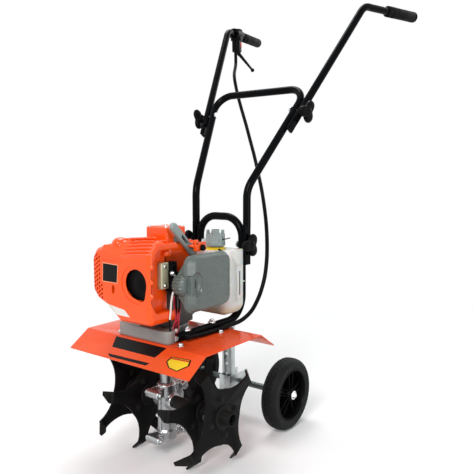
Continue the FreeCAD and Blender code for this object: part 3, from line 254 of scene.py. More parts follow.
def add_mesh(name, made):
    """Object from a bmesh, which is freed."""
    mesh = bpy.data.meshes.new(name)
    made.to_mesh(mesh)
    made.free()
    return add_object(name, mesh)


def build(name, *steps):
    """Object from functions that each add closed shapes to one mesh."""
    made = bmesh.new()
    for step in steps:
        step(made)
    bmesh.ops.recalc_face_normals(made, faces=made.faces)
    return add_mesh(name, made)


def prism(points, rise):
    """Flat outline carried along a vector, both in metres."""
    def step(made):
        low = [made.verts.new(point) for point in points]
        high = [made.verts.new(point + rise) for point in points]
        made.faces.new(low)
        made.faces.new(high)
        for i, vert in enumerate(low):
            j = (i + 1) % len(low)
            made.faces.new((vert, low[j], high[j], high[i]))
    return step


def block(x, y, z):
    """Box between pairs of millimetre limits."""
    corners = [at(x[0], y[0], z[0]), at(x[1], y[0], z[0]), at(x[1], y[1], z[0]), at(x[0], y[1], z[0])]
    return prism(corners, Z * (z[1] - z[0]) / 1000)


def loft(rings, closed=False):
    """Skin over rings of points with equal counts; the ends are capped unless closed."""
    def step(made):
        layers = [[made.verts.new(point) for point in ring] for ring in rings]
        pairs = list(zip(layers, layers[1:])) + ([(layers[-1], layers[0])] if closed else [])
        for low, high in pairs:
            for i, vert in enumerate(low):
                j = (i + 1) % len(low)
                made.faces.new((vert, low[j], high[j], high[i]))
        if not closed:
            made.faces.new(layers[0])
            made.faces.new(layers[-1])
    return step


def lathe(profile, centre, axis, steps=48, closed=False, reach=None, turn=0.0):
    """Turned shape from a profile of (radius, distance along the axis) in mm.

    reach(angle, radius, distance) scales the radius; turn is the angle of the first point.
    """
    axis = axis.normalized()
    side = axis.cross(Z if abs(axis.z) < 0.9 else X).normalized()
    up = side.cross(axis)
    rings = []
    for radius, along in profile:
        ring = []
        for i in range(steps):
            angle = turn + 2 * math.pi * i / steps
            length = radius * (reach(angle, radius, along) if reach else 1)
            ring.append(centre + axis * (along / 1000)
                        + (side * math.cos(angle) + up * math.sin(angle)) * (length / 1000))
        rings.append(ring)
    return loft(rings, closed)


def rounded(x, y, z, r):
    """Rounded rectangle at one x, between pairs of y and z limits in mm."""
    points = []
    corner_steps = 6
    for cy, cz, start in ((y[1] - r, z[1] - r, 0), (y[0] + r, z[1] - r, 90), (y[0] + r, z[0] + r, 180),
                          (y[1] - r, z[0] + r, 270)):
        for k in range(corner_steps + 1):
            angle = math.radians(start + 90 * k / corner_steps)
            points.append(at(x, cy + r * math.cos(angle), cz + r * math.sin(angle)))
    return points


def ball(centre, radii):
    """Ellipsoid with radii in mm."""
    def step(made):
        matrix = Matrix.Translation(centre) @ Matrix.Diagonal((*[r / 1000 for r in radii], 1))
        bmesh.ops.create_uvsphere(made, u_segments=32, v_segments=20, radius=1, matrix=matrix)
    return step


def hex_head(centre, axis, r, high):
    """Hexagon head of radius r and height high, in mm, on a washer."""
    def step(made):
        washer = [(r * 1.5, 0), (r * 1.5, 1.0), (r * 1.2, 1.2)]
        head = [(r, 1.0), (r, high - 0.8), (r * 0.86, high)]
        lathe(washer, centre, axis, 24)(made)
        lathe(head, centre, axis, 6)(made)
    return step


def copy_of(name, source):
    """Copy of a CAD node as a welded mesh without the flat faces' inner edges."""
    made = bmesh.new()
    made.from_mesh(nodes[source].data)
    bmesh.ops.remove_doubles(made, verts=made.verts, dist=1e-5)
    bmesh.ops.dissolve_limit(made, angle_limit=math.radians(1), verts=made.verts, edges=made.edges)
    return add_mesh(name, made)


def apply(piece, kind, **settings):
    """Put a modifier on a piece and bake its result into the mesh."""
    modifier = piece.modifiers.new("step", kind)
    for key, value in settings.items():
        setattr(modifier, key, value)
    shape = bpy.data.meshes.new_from_object(piece.evaluated_get(bpy.context.evaluated_depsgraph_get()))
    piece.modifiers.clear()
    piece.data = shape


def join(piece, other):
    """Add another object's mesh to a piece's."""
    made = bmesh.new()
    made.from_mesh(piece.data)
    made.from_mesh(other.data)
    made.to_mesh(piece.data)
    made.free()
    bpy.data.objects.remove(other)


def cut(piece, tool):
    """Take another object's shape out of a piece."""
    apply(piece, "BOOLEAN", operation="DIFFERENCE", object=tool, solver="EXACT")
    bpy.data.objects.remove(tool)


def soften(piece, voxel, passes):
    """Melt a shape's edges as casting does: remeshed in voxels of so many mm, then smoothed."""
    apply(piece, "REMESH", mode="VOXEL", voxel_size=voxel / 1000)
    apply(piece, "SMOOTH", factor=0.5, iterations=passes)


def ease(piece, width, segments=2):
    """Bevel a shape's sharp edges by a width in mm."""
    apply(piece, "BEVEL", width=width / 1000, segments=segments, limit_method="ANGLE",
          angle_limit=math.radians(32), use_clamp_overlap=True)


def finish(piece, body, material, replaces=(), sharp=38):
    """Give a piece its finish and its body, and hide the CAD nodes it stands for."""
    piece.data.shade_smooth()
    piece.data.set_sharp_from_angle(angle=math.radians(sharp))
    dress(piece, material)
    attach(piece, body)
    if replaces:
        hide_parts(*replaces)
    return piece


def body_of(name):
    """The body that a CAD node rides on."""
    for body, members in frame["record"]["behaviour"]["bodies"].items():
        if name in members:
            return body


def cast(name, voxel, passes):
    """Softened stand-in for a CAD node."""
    piece = copy_of(name + "_cast", name)
    soften(piece, voxel, passes)
    return finish(piece, body_of(name), SLOT[name], replaces=(name,), sharp=60)


def eased(name, width, segments=2):
    """Stand-in for a CAD node with its sharp edges rounded."""
    piece = copy_of(name + "_eased", name)
    ease(piece, width, segments)
    finish(piece, body_of(name), SLOT[name], replaces=(name,))


def patch(name, target, points, aim, cell, lift):
    """Thin printed patch: a flat outline laid along aim on the target's surface.

    It is divided into cells and stands off the surface by lift, both in mm.
    """
    before, thick = 0.05, 0.0002
    made = bmesh.new()
    made.faces.new([made.verts.new(point) for point in points])
    for axis in (X, Y, Z):
        if abs(axis.dot(aim)) > 0.7:
            continue
        spots = [point.dot(axis) for point in points]
        for k in range(1, int((max(spots) - min(spots)) * 1000 / cell) + 1):
            spot = axis * (min(spots) + k * cell / 1000)
            everything = made.verts[:] + made.edges[:] + made.faces[:]
            bmesh.ops.bisect_plane(made, geom=everything, plane_co=spot, plane_no=axis, dist=1e-7)
    bmesh.ops.triangulate(made, faces=made.faces)
    tree = BVHTree.FromObject(target, bpy.context.evaluated_depsgraph_get())
    for vert in made.verts:
        hit = tree.ray_cast(vert.co - aim * before, aim)[0]
        if hit:
            vert.co = hit - aim * (lift / 1000)
    piece = add_mesh(name, made)
    apply(piece, "SOLIDIFY", thickness=thick, offset=1)
    return piece


def wire(name, points, r, body, material):
    """Wire of radius r held at both ends, as a smooth spline along its route, in mm."""
    data = bpy.data.curves.new(name, "CURVE")
    data.dimensions = "3D"
    data.bevel_depth = r / 1000
    data.bevel_resolution = 4
    data.use_fill_caps = True
    spline = data.splines.new("NURBS")
    spline.points.add(len(points) - 1)
    for spot, place in zip(spline.points, points):
        spot.co = (*at(*place), 1)
    spline.order_u = 3
    spline.use_endpoint_u = True
    piece = add_object(name, data)
    dress(piece, material)
    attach(piece, body)


def vertices(name):
    """A CAD node's vertices, one row each."""
    return np.array([vert.co for vert in nodes[name].data.vertices])


def main_ways(name):
    """Directions in which a CAD node's vertices spread, from the longest to the shortest."""
    spots = vertices(name)
    _, _, ways = np.linalg.svd(spots - spots.mean(0), full_matrices=False)
    return ways


def long_axis(name):
    """Middle, direction, half length and radius of a long CAD node."""
    spots = vertices(name)
    centre = (spots.max(0) + spots.min(0)) / 2
    run = main_ways(name)[0]
    along = (spots - centre) @ run
    shift = (along.max() + along.min()) / 2
    centre = centre + run * shift
    away = np.linalg.norm((spots - centre) - np.outer((spots - centre) @ run, run), axis=1)
    return Vector(centre), Vector(run), float(along.max() - along.min()) / 2, float(away.max())


# ------------------------------------------------------------------ engine
SHROUD_FRONT = -110


def shroud_top(x):
    """Height of the shroud's top, which falls towards -X from its corner at x = 66."""
    return 500 - (66 - x) * 0.1


def make_shroud():
    """Engine shroud: chamfered top edge with ribs, vents, the opening over the spark plug, blank labels."""
    piece = copy_of("shroud", "engine_shroud")

    def brow(section, *ends):
        """Solid along the top front edge; its section is (depth behind the front, height over the top)."""
        return loft([[at(x, SHROUD_FRONT + y * size, shroud_top(x) + z * size) for y, z in section]
                     for x, size in ends])

    # The hollow copy is filled behind the edge that the wedge then takes off.
    filled = build("filled", brow([(3, -44), (3, -3), (44, -3)], (62, 1), (-50, 1), (-82, 0.3)),
                   block((-28, 42), (-110, -107), (360, 446)),
                   prism([at(63, -107, 482), at(63, -107, 446), at(63, -84, 482)], X * 0.003),
                   prism([at(63, -107, 346), at(63, -107, 372), at(63, -88, 346)], X * 0.003))
    join(piece, filled)
    soften(piece, 2.0, 0)
    wedge = brow([(-4, -34), (-4, 6), (34, 6)], (80, 1), (-10, 1), (-95, 0.15))
    cut(piece, build("wedge", wedge))

    raised = build("raised", ball(at(-52, -82, 487), (17, 19, 13)),
                   ball(at(-28, -66, 488), (17, 19, 12)),
                   *[ball(at(64, y, z), (5, 4, 5)) for y, z in ((-104, 447), (-104, 416), (-103, 387))])
    join(piece, raised)
    soften(piece, 1.6, 4)

    def rib(k):
        """Rounded rib lying on the chamfer's slope, tapering into it at both ends."""
        run, rise = 0.69, 0.72  # the slope's direction; out of it is (-rise, run)
        depth = 2 + 6.4 * k
        over = depth * 1.053 - 29.8
        ends = []
        for x, size in ((60 - 2 * k, 0.3), (56 - 2 * k, 1), (-20 - 6 * k, 1), (-30 - 6 * k, 0.2)):
            ring = []
            for step in range(9):
                angle = math.radians(-40 + 260 * step / 8)
                out, along = 3.6 * size * math.sin(angle), 2.6 * size * math.cos(angle)
                ring.append(at(x, SHROUD_FRONT + depth + along * run - out * rise,
                               shroud_top(x) + over + along * rise + out * run))
            ends.append(ring)
        return loft(ends)

    ribs = build("shroud_ribs", *[rib(k) for k in range(6)])
    finish(ribs, "machine", "orange_plastic")
    lozenge = [(1.0, 4.5), (3.4, 1.4), (-1.0, -4.5), (-3.4, -1.4)]
    pitch = 9.4
    vents = []
    for column in range(5):
        for row in range(12):
            x = -112 + 7.4 * column
            z = 368 + pitch * row + (pitch / 2 if column % 2 else 0)
            if z > 462 or z < 372 - column * 1.5 or (column > 3 and z > 398):
                continue
            vents.append(prism([at(x + dx, -114, z + dz) for dx, dz in lozenge], Y * 0.024))
    for row in range(9):
        for column in range(5):
            y = -88 + 12 * column
            z = 388 + 8 * row
            vents.append(block((-120, -108), (y, y + 8), (z, z + 3)))
    cut(piece, build("vents", *vents))
    recess = prism([at(x - 4, -116, z - 1) for x, z in drop_outline(7, 5)], Y * 0.0073)
    cut(piece, build("recess", recess))
    hole = prism([at(x, -116, z) for x, z in drop_outline(0, 0)], Y * 0.03)
    turns = [2 * math.pi * k / 20 for k in range(20)]
    slot = prism([at(-46 + 5 * math.cos(turn), -114, 391 + 10 * math.sin(turn)) for turn in turns], Y * 0.03)
    groove = block((-78, -14), (-114, -109.0), (451.5, 453.2))
    cut(piece, build("hole", hole, slot, groove))
    finish(piece, "machine", "orange_plastic", replaces=("engine_shroud",), sharp=50)

    def label(name, points, material, lift):
        flat = patch(name, piece, [at(x, -120, z) for x, z in points], Y, 4.0, lift)
        finish(flat, "machine", material)

    label("shroud_label_edge", [(-79.5, 405), (-32, 405), (-29, 445.5), (-77.5, 446.5)], "label_edge", 0.2)
    label("shroud_label", [(-78, 406.5), (-33.5, 406.5), (-30.7, 443.8), (-76.2, 444.8)], "label_black",
          0.45)
    label("shroud_sticker", [(-72, 358), (-12, 351), (5, 337.5), (-43, 337.5)], "label_white", 0.3)


def drop_outline(grow, tail_grow):
    """Drop-shaped outline round the opening over the spark plug, as (x, z) in mm.

    It is two arcs and their common tangents, each arc's radius grown by so much.
    """
    head, head_r = Vector((22.5, 409.5)), 31 + grow
    tail, tail_r = Vector((37, 386)), 12 + tail_grow
    run = (tail - head).normalized()
    start = math.atan2(run.y, run.x)
    lean = math.acos((head_r - tail_r) / (tail - head).length)
    points = []
    arcs = ((head, head_r, lean, 2 * math.pi - lean), (tail, tail_r, -lean, lean))
    for centre, r, first, last in arcs:
        for k in range(25):
            angle = start + first + (last - first) * k / 24
            points.append((centre.x + r * math.cos(angle), centre.y + r * math.sin(angle)))
    return points


def make_engine():
    """Engine block with fins, its covers, silencer, carburettor and base, and small parts by the filter."""
    core = copy_of("engine_core", "engine_block")
    ease(core, 2.0)
    fins = [block((-44, 44), (-97, -50), (366 + 9 * k, 368.6 + 9 * k)) for k in range(10)]
    join(core, build("fins", *fins))
    finish(core, "machine", "engine_cast", replaces=("engine_block",))

    fan = copy_of("fan_cover", "fan_housing")
    hub = at(0, 0, 485)
    starter_side = 0.044
    louvres = []
    for k in range(28):
        angle = 2 * math.pi * k / 28
        along = Vector((math.cos(angle), math.sin(angle), 0))
        across = Z.cross(along) * 0.0016
        near, far = hub + along * 0.046, hub + along * 0.064
        if far.x > starter_side:
            continue
        louvres.append(prism([near - across, far - across, far + across, near + across], Z * 0.0035))
    ease(fan, 2.5, 3)
    join(fan, build("louvres", *louvres, ball(at(-30, -56, 484), (20, 13, 15))))
    finish(fan, "machine", "orange_plastic", replaces=("fan_housing",))

    starter = copy_of("starter_cover", "starter_housing")
    ease(starter, 2.2, 3)
    panel = loft([[at(5 + sx * half, sy * half, z) for sx, sy in ((1, 1), (-1, 1), (-1, -1), (1, -1))]
                  for half, z in ((24, 520), (24, 521.6), (22.5, 522.6))])
    join(starter, build("starter_panel", panel))
    finish(starter, "machine", "orange_plastic", replaces=("starter_housing",))
    corners = [(x, y) for x in (-20, 30) for y in (-25, 25)]
    screws = build("starter_screws", *[hex_head(at(x, y, 521), Z, 2.6, 3.5) for x, y in corners])
    finish(screws, "machine", "zinc")

    collar = [(9.5, 0), (9.5, 3), (7.5, 5), (7.0, 11), (5.5, 13.6)]
    guide = build("rope_seat", lathe(collar, at(36.4, 0, 494), X))
    finish(guide, "machine", "grey_plastic", replaces=("rope_guide",))

    cast("silencer", 1.6, 4).data.shade_smooth()
    cast("carburettor", 1.2, 3)
    base = copy_of("base_casting", "engine_base")
    soften(base, 1.3, 8)
    finish(base, "machine", "base_grey", replaces=("engine_base",), sharp=60)
    boot = build("plug_cap", ball(at(22, -98, 408), (24, 5, 22)),
                 prism([at(x, -101, z) for x, z in drop_outline(5, 4)], Y * 0.004))
    finish(boot, "machine", "black_plastic", replaces=("spark_plug_boot",))

    duct = build("air_duct", block((45, 48), (-94, -44), (338, 490)),
                 block((45, 62), (-94, -40), (345, 349)), block((45, 62), (-94, -40), (478, 482)),
                 ball(at(50, -46, 470), (9, 12, 9)))
    ease(duct, 1.0)
    finish(duct, "machine", "orange_plastic")
    insulator = build("insulator", block((47, 60), (-72, -49), (396, 452)))
    ease(insulator, 2.5, 3)
    finish(insulator, "machine", "khaki")
    plate = build("choke_plate", block((44, 64), (-48, -28), (388, 452)),
                  block((58, 69), (-50, -34), (432, 446)),
                  lathe([(9, 0), (9, 5), (6, 7)], at(60, -36, 412), X, 24))
    ease(plate, 1.2)
    finish(plate, "machine", "black_plastic")
    seats = [(69, -49, 429, 4.2, 5), (64, -40, 396, 3.2, 4), (60, -62, 404, 3.0, 4), (60, -62, 444, 3.0, 4)]
    bolts = build("engine_bolts", *[hex_head(at(x, y, z), X, r, high) for x, y, z, r, high in seats])
    finish(bolts, "machine", "chrome")


def make_pull_handle():
    """Starter handle: a flat bar with rounded ends and a slot."""
    centre = at(56.5, 0, 494)
    run = (Y - Z).normalized()
    side = X.cross(run).normalized()

    def outline(long, wide, x):
        points = []
        for sign, start in ((1, -90), (-1, 90)):
            for k in range(13):
                angle = math.radians(start + 180 * k / 12)
                reach = sign * (long / 2 - wide / 2) + wide / 2 * math.cos(angle)
                points.append(centre + X * (x / 1000) + run * (reach / 1000)
                              + side * (wide / 2 * math.sin(angle) / 1000))
        return points

    bar = build("pull_handle", loft([outline(98, 14, -5), outline(104, 18, -3), outline(104, 18, 3),
                                     outline(100, 14, 5.5)]))
    cut(bar, build("handle_slot", loft([outline(30, 6.5, -10), outline(30, 6.5, 10)])))
    finish(bar, "machine", "handle_grey", replaces=("starter_handle",))
    knot = build("rope_knot", lathe([(2, 0), (5, 1), (5.5, 4), (3, 7)], centre - X * 0.006, X, 20))
    finish(knot, "machine", "black_plastic")


def make_filter():
    """Air filter: funnel base, cover with a raked front edge, and a knurled knob with a wing."""
    funnel = [(104, 345, 465, 18), (99, 346, 464, 18), (91, 357, 452, 16), (83, 369, 440, 14),
              (78, 379, 430, 12), (76.5, 383, 426, 10)]
    base = build("filter_box", loft([rounded(x, (-45, 96), (low, high), r) for x, low, high, r in funnel]),
                 lathe([(17, 0), (17, 14)], at(66, 3, 394), X))
    ease(base, 2.5, 3)
    finish(base, "machine", "grey_plastic", replaces=("filter_base",))

    rings = [(98, (-46, 98), (344, 466), 20), (101, (-46, 98), (344, 466), 20),
             (102.4, (-44.6, 97), (345, 465), 19.5), (110.6, (-25, 94), (349, 461), 18),
             (111.8, (-21.5, 92), (351, 459), 17), (112.3, (-18, 89), (354, 456), 15)]
    cover = build("filter_lid", loft([rounded(*ring) for ring in rings]))
    # Two cuts, because one tool of two overlapping shapes takes the whole lid away.
    cut(cover, build("scoop", lathe([(21, 0), (21, 40)], at(90, -40, 405), X, 40)))
    cut(cover, build("scoop_bowl", ball(at(113, -20, 405), (9, 19, 27))))
    clip = build("lid_clip", loft([rounded(x, (85.5 + d, 88.5 - d), (364 + d, 446 - d), 1.4 - d / 2)
                                   for x, d in ((108, 0), (112.3, 0), (112.9, 0.8))]))
    join(cover, clip)
    finish(cover, "machine", "grey_plastic", replaces=("filter_cover",), sharp=14)

    def knurls(angle, r, h):
        groove = r > 17.5 and int(angle / (math.pi / 18)) % 2
        return 1 - (0.08 if groove else 0)

    turned = [(16, 0), (21, 3), (22.5, 9), (22.5, 20), (21, 26), (17, 29), (9, 30)]
    knurl = lathe(turned, at(75, -40, 405), X, 144, reach=knurls)
    wing = loft([[at(x, -34 + y * w, 405 + z * h) for y, z in ((1, 1), (-1, 1), (-1, -1), (1, -1))]
                 for x, w, h in ((99, 7, 20), (113, 6, 19), (114.5, 4.5, 17.5))])
    finish(build("filter_wing", knurl, wing), "machine", "grey_plastic",
           replaces=("filter_knob",))
    # A black ellipsoid in the scoop beside the knob stands where there is only shade: painted shade.
    painted_scoop_shade = build("scoop_shadow", ball(at(102.5, -21, 405), (3, 8, 17)))
    finish(painted_scoop_shade, "machine", "black_plastic")

    lever = build("choke_lever", prism([at(48, 10, 478), at(84, 10, 478), at(84, 40, 478), at(72, 40, 478),
                                        at(62, 26, 478), at(48, 26, 478)], Z * 0.004),
                  block((78, 86), (8, 42), (470, 489)), block((80, 86), (6, 16), (484, 495)))
    ease(lever, 1.2)
    finish(lever, "machine", "orange_plastic")
    stud = build("choke_button", lathe([(6, 0), (7, 1), (7, 5), (5.5, 6.5)], at(86, 27, 477), X, 28))
    finish(stud, "machine", "black_plastic")


def make_tank():
    """Fuel tank with its cap, vent, fuel line and cradle."""
    tank = copy_of("tank_moulding", "fuel_tank")
    ease(tank, 5.0, 4)
    outer, inner = ((147, 177), (340, 423), 4), ((149, 175), (342, 421), 3)
    groove = loft([rounded(91, *outer), rounded(88.9, *outer), rounded(88.9, *inner), rounded(91, *inner)],
                  closed=True)
    cut(tank, build("tank_groove", groove))
    seam = build("tank_seam", block((-30, 88), (104.2, 183.2), (380.6, 381.8)))
    join(tank, seam)
    finish(tank, "machine", "tank_plastic", replaces=("fuel_tank",))
    line = build("tank_gauge", loft([rounded(x, (157.4, 160.2), (351, 409), 1.2) for x in (89.6, 90.3)]))
    finish(line, "machine", "black_plastic")
    centre = at(30, 142, 458)
    gasket = build("cap_gasket", lathe([(18, -0.5), (25, 0), (25, 3), (21, 5.5)], centre, Z, 48))
    finish(gasket, "machine", "label_yellow")
    teeth = []
    for k in range(4):
        first = math.radians(12 + 90 * k)
        near, far = [], []
        for j in range(6):
            angle = first + math.radians(52) * j / 5
            way = Vector((math.cos(angle), math.sin(angle), 0))
            near.append(centre + way * 0.0150 + Z * 0.036)
            far.append(centre + way * 0.0216 + Z * 0.036)
        teeth.append(prism(near + far[::-1], Z * 0.010))

    def flutes(angle, r, h):
        groove = h > 19 and r > 19 and int(angle / (math.pi / 15)) % 2
        return 1 - (0.06 if groove else 0)

    turned = [(15, 0), (15, 7), (22.4, 8), (24.0, 10), (24.0, 18), (22.8, 19.5), (22.8, 36), (21.4, 37.4)]
    cap = build("tank_cap", lathe(turned, centre, Z, 120, reach=flutes), *teeth)
    ease(cap, 0.5, 1)
    finish(cap, "machine", "handle_grey", replaces=("fuel_cap",))
    pointer = lathe([(1.3, 0), (1.2, 21), (0.8, 22)], at(50, 142, 481), Vector((0.93, 0.28, 0.26)), 12)
    finish(build("cap_pointer", pointer), "machine", "black_plastic")
    wire("tank_vent", [(52, 128, 458), (58, 120, 462), (66, 118, 460), (72, 124, 452)], 2.0, "machine",
         "label_black")
    wire("fuel_line", [(30, 106, 330), (34, 86, 326), (44, 60, 340), (52, 40, 360), (54, 22, 382)], 2.6,
         "machine", "label_yellow")
    eased("tank_cradle", 1.5)


def make_wiring():
    """Leads at the engine's side: a spark lead in white sleeve, stop-switch leads and their plugs."""
    wire("spark_lead", [(62, -44, 432), (70, -36, 420), (71, -40, 403), (71, -52, 384), (72, -57, 364),
                        (69, -55, 346), (69, -58, 332)], 2.1, "machine", "white_plastic")
    wire("lead_end", [(69, -58, 334), (67, -56, 316), (64, -52, 300), (62, -46, 288)], 1.8, "machine",
         "black_plastic")
    leads = [(0, 0, 0, "wire_red"), (-4, 6, 4, "wire_red"), (5, 12, -3, "black_plastic"),
             (1, 18, 2, "wire_red"), (-6, 11, -6, "wire_red"), (3, 4, 5, "black_plastic")]
    for k, (dx, dy, dz, material) in enumerate(leads):
        route = [(58 + dx, -34 + dy, 372 + dz), (66 + dx, -40 + dy, 352 - dz),
                 (67 - dx, -36 + dy / 2, 330 + dz), (64 + dx / 2, -44 + dy, 312),
                 (66 - dx / 2, -40 + dy / 2, 296 + dz), (64, -38 + dy / 2, 284)]
        wire(f"switch_lead_{k}", route, 1.5, "machine", material)
    plugs = build("lead_plugs", block((60, 70), (-44, -38), (281, 292)),
                  block((61, 70), (-34, -28), (280, 290)), block((62, 68), (-40, -33), (300, 307)))
    ease(plugs, 0.8)
    finish(plugs, "machine", "white_plastic")


# ------------------------------------------------------------------ deck and drive
def flap(x, s, lift=0.0):
    """Point on the front flap: x across, s down its slope and lift off it, in mm."""
    slope = math.atan2(35, 52)
    return at(x, -73 - s * math.cos(slope) - lift * math.sin(slope),
              278 - s * math.sin(slope) + lift * math.cos(slope))


def make_deck():
    """Deck plate with its blank decals, its bolts and the frame's screws."""
    eased("deck_plate", 0.8)
    normal = (flap(0, 0, 1) - flap(0, 0, 0)).normalized()

    def decal(name, points, material, lift):
        piece = build(name, prism([flap(x, s, lift) for x, s in points], normal * 0.0002))
        finish(piece, "machine", material)

    decal("deck_band", [(-78, 4), (76, 3.5), (65, 32), (-65, 33)], "label_black", 0.05)
    decal("deck_stripe", [(-61, 51), (-50, 57.5), (58, 55.5), (63, 48)], "label_black", 0.05)
    badge = [(99, 34), (103, 20), (154, 16.5), (159, 31), (140, 50), (115, 47)]
    centre, shrink = Vector((129, 33)), 0.87
    decal("deck_badge_edge", badge, "label_black", 0.05)
    inner = [tuple(centre + (Vector(point) - centre) * shrink) for point in badge]
    decal("deck_badge", inner, "label_yellow", 0.3)
    decal("deck_badge_band", [(104.5, 26), (106.5, 22.6), (150.5, 19.6), (152.6, 23)], "red_plastic", 0.55)
    heads = [hex_head(at(x, y, 278), Z, 5, 5) for x in (-92, 92) for y in (-50, 84)]
    finish(build("deck_bolts", *heads), "machine", "zinc")
    seats = [at(x, y, 297) for x in (-66, 66) for y in (0, 84)]
    screws = build("frame_screws", *[hex_head(seat, Z, 6.2, 6.5) for seat in seats],
                   *[lathe([(3.4, 6.5), (3.2, 7.4), (2.0, 8.2)], seat, Z, 20) for seat in seats])
    finish(screws, "machine", "chrome", replaces=("frame_bolts",))


def make_drive():
    """Drive neck and the gear case, drawn as one casting, with its bolts and the shaft's sleeves."""
    cast("drive_neck", 1.2, 5)
    low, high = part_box("gear_case_left")
    foot = Vector((0, AXIS.y, low.z))
    tall = (high.z - low.z) * 1000
    bosses = [(-40, 43.2), (-40, 148.8), (44, 43.2), (44, 148.8)]
    column = [(14, 0), (19, 1), (23, 5), (23.4, 24), (21.5, 27), (20.5, 28), (20.5, tall - 30),
              (22.6, tall - 27), (22.6, tall - 4), (20, tall)]
    shapes = [lathe(column, foot, Z, 72),
              lathe([(16.5, -27), (18.5, -25), (18.5, 25), (16.5, 27)], AXIS, X, 56, turn=0.1),
              lathe([(16, -14), (30, -11), (30, 11), (16, 14)], at(0, 16, 124.6), X, 56),
              block((-4, 4), (-24, 28), (40, 154)), block((-6, 6), (-38, 42), (35, 53)),
              block((-6, 6), (-38, 42), (138, 158))]
    for y, z in bosses:
        shapes.append(lathe([(8.5, -19), (9.5, -18), (9.5, 18), (8.5, 19)], at(0, y, z), X, 32))
        web = sorted((y, 0.3 * y))
        for k in range(4):
            shapes.append(block((-15 + 8 * k, -12.5 + 8 * k), web, (z - 10, z + 10)))
    case = build("gear_case", *shapes)
    soften(case, 1.1, 4)
    cut(case, build("case_bore", lathe([(9, -60), (9, 60)], AXIS, X, 32)))
    finish(case, "machine", "cast_alloy", replaces=("gear_case_left", "gear_case_right"), sharp=70)
    case_face = 28
    sleeves = []
    for side, sign in (("left", 1), ("right", -1)):
        low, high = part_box(f"tine_hub_{side}")
        reach = min(abs(low.x), abs(high.x)) * 1000 - case_face
        sleeve = [(12, 0), (14, 1), (14, reach - 1), (12, reach)]
        sleeves.append(lathe(sleeve, AXIS + X * (sign * case_face / 1000), X * sign, 40))
    finish(build("shaft_sleeves", *sleeves), "tines", "tine_black")
    heads = [hex_head(at(sign * 18.6, y, z), X * sign, 5.2, 5.5) for y, z in bosses for sign in (1, -1)]
    finish(build("case_bolts", *heads), "machine", "zinc", replaces=("gear_case_bolts",))


# Faces of the star plates that carry bolts: place along X in mm, outward side, first bolt's turn in degrees.
PLATES = [(165, 1, 8), (161, -1, 8), (112, 1, 30), (108, -1, 30), (-55, 1, 30), (-59, -1, 30), (-108, 1, 8),
          (-112, -1, 8)]


def make_tines():
    """Rotor: four stars, their bolts, the hubs, and the hub pins with their clips."""
    for side in ("left", "right"):
        for row in ("inner", "outer"):
            name = f"tine_star_{row}_{side}"
            piece = copy_of(f"star_{row}_{side}", name)
            ease(piece, 0.8)
            finish(piece, "tines", "tine_black", replaces=(name,), sharp=30)
        hub = copy_of(f"hub_{side}", f"tine_hub_{side}")
        ease(hub, 1.0)
        finish(hub, "tines", "tine_black", replaces=(f"tine_hub_{side}",))
        eased(f"hub_pin_{side}", 0.5)
    rivets = []
    for face, out, start in PLATES:
        seat = Vector((face / 1000, AXIS.y, AXIS.z))
        rivets.append(lathe([(26, 0), (26, 2.2), (24, 3.2)], seat, X * out, 48))
        for k in range(4):
            angle = math.radians(start + 90 * k)
            spot = seat + Vector((0, math.cos(angle), math.sin(angle))) * 0.042
            rivets.append(lathe([(7.5, 0), (7.5, 1.2), (6, 1.8)], spot, X * out, 24))
            rivets.append(lathe([(5.2, 1.2), (5.2, 4.6), (4.4, 5.4)], spot, X * out, 6))
    finish(build("star_rivets", *rivets), "tines", "tine_black")
    for k, side in enumerate(("left", "right")):
        low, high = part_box(f"hub_pin_{side}")
        x, z = (low.x + high.x) * 500, (low.z + high.z) * 500
        loop = [(x - 4, -24, z - 2), (x + 8, -25, z - 8), (x + 16, -24, z - 12), (x + 22, -22, z - 8),
                (x + 18, -21, z - 1), (x + 8, -22, z), (x - 6, -23, z + 2)]
        wire(f"hairpin_clip_{k}", loop, 1.2, "tines", "brass")


